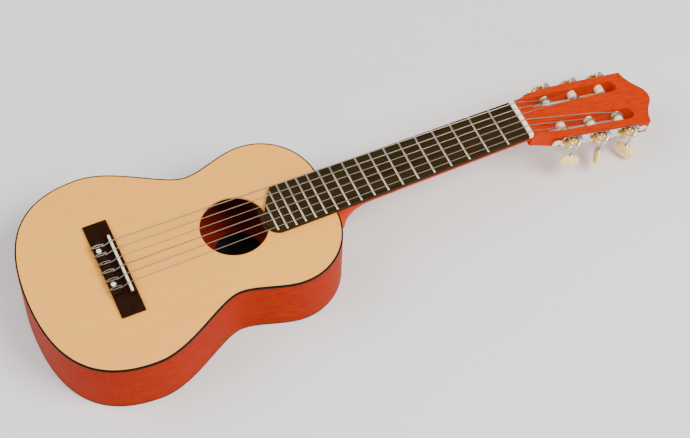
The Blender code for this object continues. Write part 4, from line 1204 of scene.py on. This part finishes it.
        a, b, c = self.button_half
        grid = np.stack([a * full(np.cos(tilt)) * full(np.cos(turn)),
                         b * full(np.cos(tilt)) * full(np.sin(turn)),
                         c * full(np.sin(tilt)) - self.button_depth + 0 * turn], axis=2)
        piece = surface(name, grid, angle=80.0)
        piece.data.transform(Matrix.Rotation(math.radians(angle), 4, "Z"))
        return piece

    def collar(self, name: str) -> bpy.types.Object:
        """The button's ferrule: a short stepped sleeve on the shaft.

        Args:
            name: The piece's name.

        Returns:
            The linked object.
        """
        top = -self.button_depth + self.button_half[2]
        highest, lowest = self.collar_line[0][1], self.collar_line[-1][1]
        shaft = self.worm_shaft
        line = np.array([(shaft, highest), *self.collar_line, (shaft, lowest)]) + (0, top)
        turn = np.linspace(0, 2 * math.pi, 32, endpoint=False)
        grid = np.empty((len(line), len(turn), 3))
        grid[..., 0] = line[:, :1] * np.cos(turn)
        grid[..., 1] = line[:, :1] * np.sin(turn)
        grid[..., 2] = line[:, 1:]
        return surface(name, grid, wrap_rows=True)

    def screw(self, name: str, size: tuple[float, float]) -> bpy.types.Object:
        """A slotted dome head about Y: height falls with the radius squared, and drops in the slot.

        Args:
            name: The piece's name.
            size: The head's radius and height.

        Returns:
            The linked object.
        """
        radius, height = size
        slot_half, slot_depth = self.screw_slot
        share = np.linspace(0, 1, 22)[:, None]
        turn = np.linspace(0, 2 * math.pi, 72, endpoint=False)[None]
        x = radius * share * np.cos(turn)
        z = radius * share * np.sin(turn)
        slot = np.abs(z) < slot_half * radius
        y = height * (1 - self.screw_drop * share ** 2) - slot_depth * height * slot
        dome = np.stack([x, y, z], axis=2)
        foot = dome[-1:].copy()
        foot[..., 1] = -self.screw_seat
        base = foot.copy()
        base[..., (0, 2)] = 0.0
        return surface(name, np.concatenate([dome, foot, base]))

    def build_side(self, side: Side) -> None:
        """Build and dress one plate with its three machines.

        Args:
            side: The side of the head.
        """
        f = self.finishes
        place = SideFrame(side)
        plate = refined(f"tuner_plate_{side.value}", 0.0002, 2)
        dress(plate, f.nickel, replaces=[f"tuner_plate_{side.value}"])
        facing = math.pi if side is Side.BASS else 0.0
        for number in (1, 2, 3):
            label = f"{side.value}_{number}"
            post, shaft = f"string_post_{label}", f"button_shaft_{label}"
            at_post = place.matrix(place.post + place.step(number))
            at_worm = place.matrix(place.worm + place.step(number))
            at_wheel = at_post @ Matrix.Translation((0, self.gear_plane, 0))
            at_face = at_post @ Matrix.Translation((0, self.gear_plane + self.gear_thickness / 2, 0))
            angle = self.button_turns[side][number - 1]
            made = [
                (self.barrel(f"roller_{label}_fine"), at_post, f.roller, "cream_plastic", post,
                 [f"roller_{label}"]),
                (self.axle(f"post_axle_{label}"), at_post, f.steel, "nickel", post, []),
                (self.gear(f"gear_{label}_fine"), at_wheel, f.brass, "brass", post, [f"gear_{label}"]),
                (self.screw(f"gear_screw_{label}", self.gear_screw), at_face, f.steel, "nickel", post, []),
                (self.worm(f"worm_{label}_fine", facing), at_worm, f.steel, "nickel", shaft,
                 [f"worm_{label}"]),
                (self.button(f"button_{label}_fine", angle), at_worm, f.cream, "cream_plastic", shaft,
                 [f"button_{label}"]),
                (self.collar(f"button_collar_{label}"), at_worm, f.nickel, "nickel", shaft, []),
            ]
            for piece, matrix, finish, slot, body, nodes in made:
                piece.data.transform(matrix)
                dress(piece, finish, body, nodes)
        for number, along in enumerate(self.plate_screw_places, 1):
            piece = self.screw(f"plate_screw_{side.value}_{number}", self.plate_screw)
            spot = Matrix.Translation((side.sign * along, self.plate_face, 0))
            piece.data.transform(place.matrix(place.post) @ spot)
            dress(piece, f.nickel)

    def build(self) -> None:
        """Build both sides."""
        for side in Side:
            self.build_side(side)


@dataclass
class StringSet:
    """Six strings, each tied at the bridge and wound on its roller."""

    finishes: Finishes
    neck: NeckAndBoard
    bridge: TieBridge
    machines: TuningMachines
    plain_strings: int = 3
    radii: tuple[float, ...] = (0.00036, 0.00041, 0.00051, 0.00037, 0.00045, 0.00055)
    spread_nut: float = 0.0394
    spread_saddle: float = 0.0515
    over_frets: float = 0.0006
    bridge_back: float = 0.0195
    tie_length: float = 0.0098
    tie_height: float = 0.0072
    tie_hole: float = 0.0042
    saddle_height: float = 0.0086
    loop_spread: float = 0.0012
    loop_reach: float = 0.0014
    nut_length: float = 0.005
    slot_from_edge: float = 0.0154
    first_post: float = 0.0415
    landings: tuple[float, ...] = (0.0012, -0.0036, -0.0048)
    wrap_turns: float = 2.25
    wrap_gap: float = 0.00048
    wrap_steps: int = 10
    fine_steps: int = 28
    slot_edge: float = 0.082
    over_edge: float = 0.0004
    loop_points: int = 10

    def side_place(self, number: int, spread: float) -> float:
        """A string's side position, from treble (0) to bass (5)."""
        return -spread / 2 + spread * number / (len(self.radii) - 1)

    def tied_end(self, number: int) -> np.ndarray:
        """The loop on the tie block, the turn down its back, the hole and the rise to the saddle.

        Args:
            number: The string, from treble (0) to bass (5).

        Returns:
            The route's points.
        """
        radius = self.radii[number]
        y = self.side_place(number, self.spread_saddle)
        back, front = -self.bridge_back, -self.bridge_back + self.tie_length
        lie = self.tie_height + CLEARANCE + radius
        off = CLEARANCE + radius + 0.0003
        s, reach = self.loop_spread, self.loop_reach
        middle = back + self.tie_length / 2
        local = np.array([
            (back - 0.0002, y - s * 0.6, lie), (middle, y - s, lie + 0.0001),
            (front + reach * 0.6, y - s * 0.7, lie - 0.0002), (front + reach, y, lie - 0.0004),
            (front + reach * 0.6, y + s * 0.7, lie - 0.0002), (middle, y + s, lie + 0.0001),
            (back + 0.0006, y + s * 0.5, lie), (back - off, y + s * 0.3, lie - 0.0010),
            (back - off - 0.0002, y, self.tie_hole + 0.0008), (back - off + 0.0002, y, self.tie_hole),
            (front + 0.0002, y, self.tie_hole), (0.0, y, self.saddle_height + CLEARANCE + radius)])
        smooth = spline_through(local[:self.loop_points], 6)
        return np.vstack([smooth, local[self.loop_points:]]) + (self.bridge.saddle_x, 0, TOP)

    def wound_end(self, number: int) -> np.ndarray:
        """Over the nut, down into the slot and round the roller in a helix.

        The helix leaves the straight run at the tangent point, and each turn shifts outward by the
        string's thickness and a gap.

        Args:
            number: The string, from treble (0) to bass (5).

        Returns:
            The route's points.
        """
        radius = self.radii[number]
        side = Side.TREBLE if number < self.plain_strings else Side.BASS
        post = number if side is Side.TREBLE else len(self.radii) - 1 - number
        place = SideFrame(side)
        depth = self.machines.post_depth
        face = place.matrix(place.post + place.normal * depth)
        to_side = face.inverted()
        board = self.neck.matrix()
        y = self.side_place(number, self.spread_nut)
        neck = self.neck
        height = CLEARANCE + neck.board_thickness + neck.fret_height + self.over_frets + radius
        start = [board @ Vector((self.neck.to_nut, y, height)),
                 board @ Vector((self.neck.to_nut + self.nut_length, y, height))]
        sign = side.sign
        centre = Vector((sign * post * place.pitch, 0, -depth))
        land = -self.slot_from_edge + self.landings[post]
        leave = to_side @ start[-1]
        points = [tuple(p) for p in start]
        if post == 2:
            over = Vector((sign * (self.slot_edge - self.first_post), 0, radius + self.over_edge))
            share = abs(over.x - leave.x) / abs(centre.x - leave.x)
            over.y = leave.y + (land - leave.y) * share
            leave = over
            points.append(tuple(face @ over))
        middle = self.machines.roller_radius + CLEARANCE + radius
        wrap = middle / math.cos(math.pi / self.wrap_steps)
        run, rise = sign * (centre.x - leave.x), leave.z - centre.z
        first = math.atan2(rise, -run) - math.acos(wrap / math.hypot(run, rise))
        turns = np.linspace(0, self.wrap_turns, int(self.wrap_turns * self.fine_steps) + 1)
        angle = first - 2 * math.pi * turns
        local = np.stack([centre.x + sign * wrap * np.cos(angle), land + turns * (2 * radius + self.wrap_gap),
                          centre.z + wrap * np.sin(angle)], axis=1)
        turn_in = np.array(face.to_3x3())
        return np.vstack([points, local @ turn_in.T + np.array(face.translation)])

    def build(self) -> None:
        """Build and dress the strings as round curves."""
        for number, radius in enumerate(self.radii):
            route = np.vstack([self.tied_end(number), self.wound_end(number)])
            curve = bpy.data.curves.new(f"string_{number + 1}_fine", "CURVE")
            curve.dimensions = "3D"
            curve.bevel_depth = radius
            curve.bevel_resolution = 3
            curve.render_resolution_u = 0
            curve.use_fill_caps = True
            spline = curve.splines.new("POLY")
            spline.points.add(len(route) - 1)
            spline.points.foreach_set("co", np.column_stack([route, np.ones(len(route))]).ravel())
            spline.use_smooth = True
            piece = bpy.data.objects.new(f"string_{number + 1}_fine", curve)
            bpy.context.scene.collection.objects.link(piece)
            wound = number >= self.plain_strings
            dress(piece, self.finishes.wound if wound else self.finishes.nylon,
                  replaces=[f"string_{number + 1}"])


@dataclass
class Studio:
    """Floor, soft light and the photograph's camera."""

    floor_half: float = 4.0
    floor_drop: float = 0.0002
    floor_colour: tuple[float, float, float] = (0.86, 0.855, 0.85)
    air_strength: float = 0.38
    clip: tuple[float, float] = (0.05, 30.0)
    focal_mm: float = 92.36
    sensor_mm: float = 36.0
    place: tuple[float, float, float] = (-0.46531, -0.91031, 1.53295)
    right: tuple[float, float, float] = (0.91008, -0.41366, 0.02551)
    down: tuple[float, float, float] = (-0.33125, -0.76301, -0.55506)
    forward: tuple[float, float, float] = (0.24907, 0.49669, -0.83142)
    # Each lamp's name, place, target, size, power in watts and tint.
    lamps: tuple[tuple, ...] = (
        ("key_light", (0.9, -1.1, 1.9), (-0.05, 0.0, 0.03), 1.3, 78.0, (1.0, 0.98, 0.94)),
        ("fill_light", (-1.6, 0.6, 1.6), (-0.1, 0.0, 0.05), 1.8, 38.0, (1.0, 1.0, 1.0)),
        ("low_front_light", (-0.5, -2.2, 0.7), (-0.1, 0.0, 0.03), 1.2, 24.0, (1.0, 1.0, 1.0)),
    )

    def floor(self) -> None:
        """A plain pale floor under the back."""
        ramp = np.linspace(-self.floor_half, self.floor_half, 3)
        x, y = np.meshgrid(ramp, ramp, indexing="ij")
        grid = np.stack([x, y, np.full_like(x, -self.floor_drop)], axis=2)
        piece = surface("studio_floor", grid, wrap_columns=False)
        if piece.data.polygons[0].normal.z < 0:
            piece.data.flip_normals()
        graph = Graph("floor_paper", self.floor_colour, 0.85)
        graph.rough(graph.noise((3.0, 3.0, 3.0)), 0.8, 0.9)
        piece.data.materials.append(graph.material)

    def lamp(self, name: str, place: Sequence[float], target: Sequence[float], size: float, power: float,
             tint: Sequence[float]) -> None:
        """A square soft light that faces a point.

        Args:
            name: The lamp's name.
            place: Where it stands.
            target: What it faces.
            size: The side of its square in metres.
            power: Its power in watts.
            tint: Its colour.
        """
        data = bpy.data.lights.new(name, "AREA")
        data.size = size
        data.energy = power
        data.color = tint
        lamp = bpy.data.objects.new(name, data)
        bpy.context.scene.collection.objects.link(lamp)
        lamp.location = place
        lamp.rotation_euler = (Vector(target) - Vector(place)).to_track_quat("-Z", "Y").to_euler()

    def build(self) -> None:
        """Set up the floor, the lights, the background and the camera."""
        self.floor()
        for values in self.lamps:
            self.lamp(*values)
        world = bpy.data.worlds.new("studio_air")
        world.use_nodes = True
        back = world.node_tree.nodes["Background"]
        back.inputs["Color"].default_value = (1.0, 1.0, 1.0, 1.0)
        back.inputs["Strength"].default_value = self.air_strength
        bpy.context.scene.world = world
        data = bpy.data.cameras.new("photo_camera")
        data.lens = self.focal_mm
        data.sensor_width = self.sensor_mm
        data.clip_start, data.clip_end = self.clip
        camera = bpy.data.objects.new("photo_camera", data)
        bpy.context.scene.collection.objects.link(camera)
        axes = Matrix((self.right, [-v for v in self.down], [-v for v in self.forward])).transposed()
        camera.matrix_world = Matrix.Translation(self.place) @ axes.to_4x4()
        bpy.context.scene.camera = camera


def clear_stray_objects() -> None:
    """Remove what was in the scene besides the frame."""
    kept = set(frame["nodes"].values()) | set(frame["bodies"].values())
    for item in list(bpy.data.objects):
        if item not in kept:
            bpy.data.objects.remove(item)


def main() -> None:
    """Build the instrument's pieces in order, then the studio."""
    logging.basicConfig(level=logging.INFO, format="%(name)s: %(message)s")
    clear_stray_objects()
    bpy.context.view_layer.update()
    finishes = Finishes()
    neck = NeckAndBoard(finishes)
    bridge = TieBridge(finishes)
    machines = TuningMachines(finishes)
    strings = StringSet(finishes, neck, bridge, machines)
    steps: list[Callable[[], None]] = [
        BodyShell(finishes).build, InnerParts(finishes).build, neck.build, bridge.build, machines.build,
        strings.build, Studio().build]
    for step in steps:
        step()


if __name__ == "__main__":
    main()
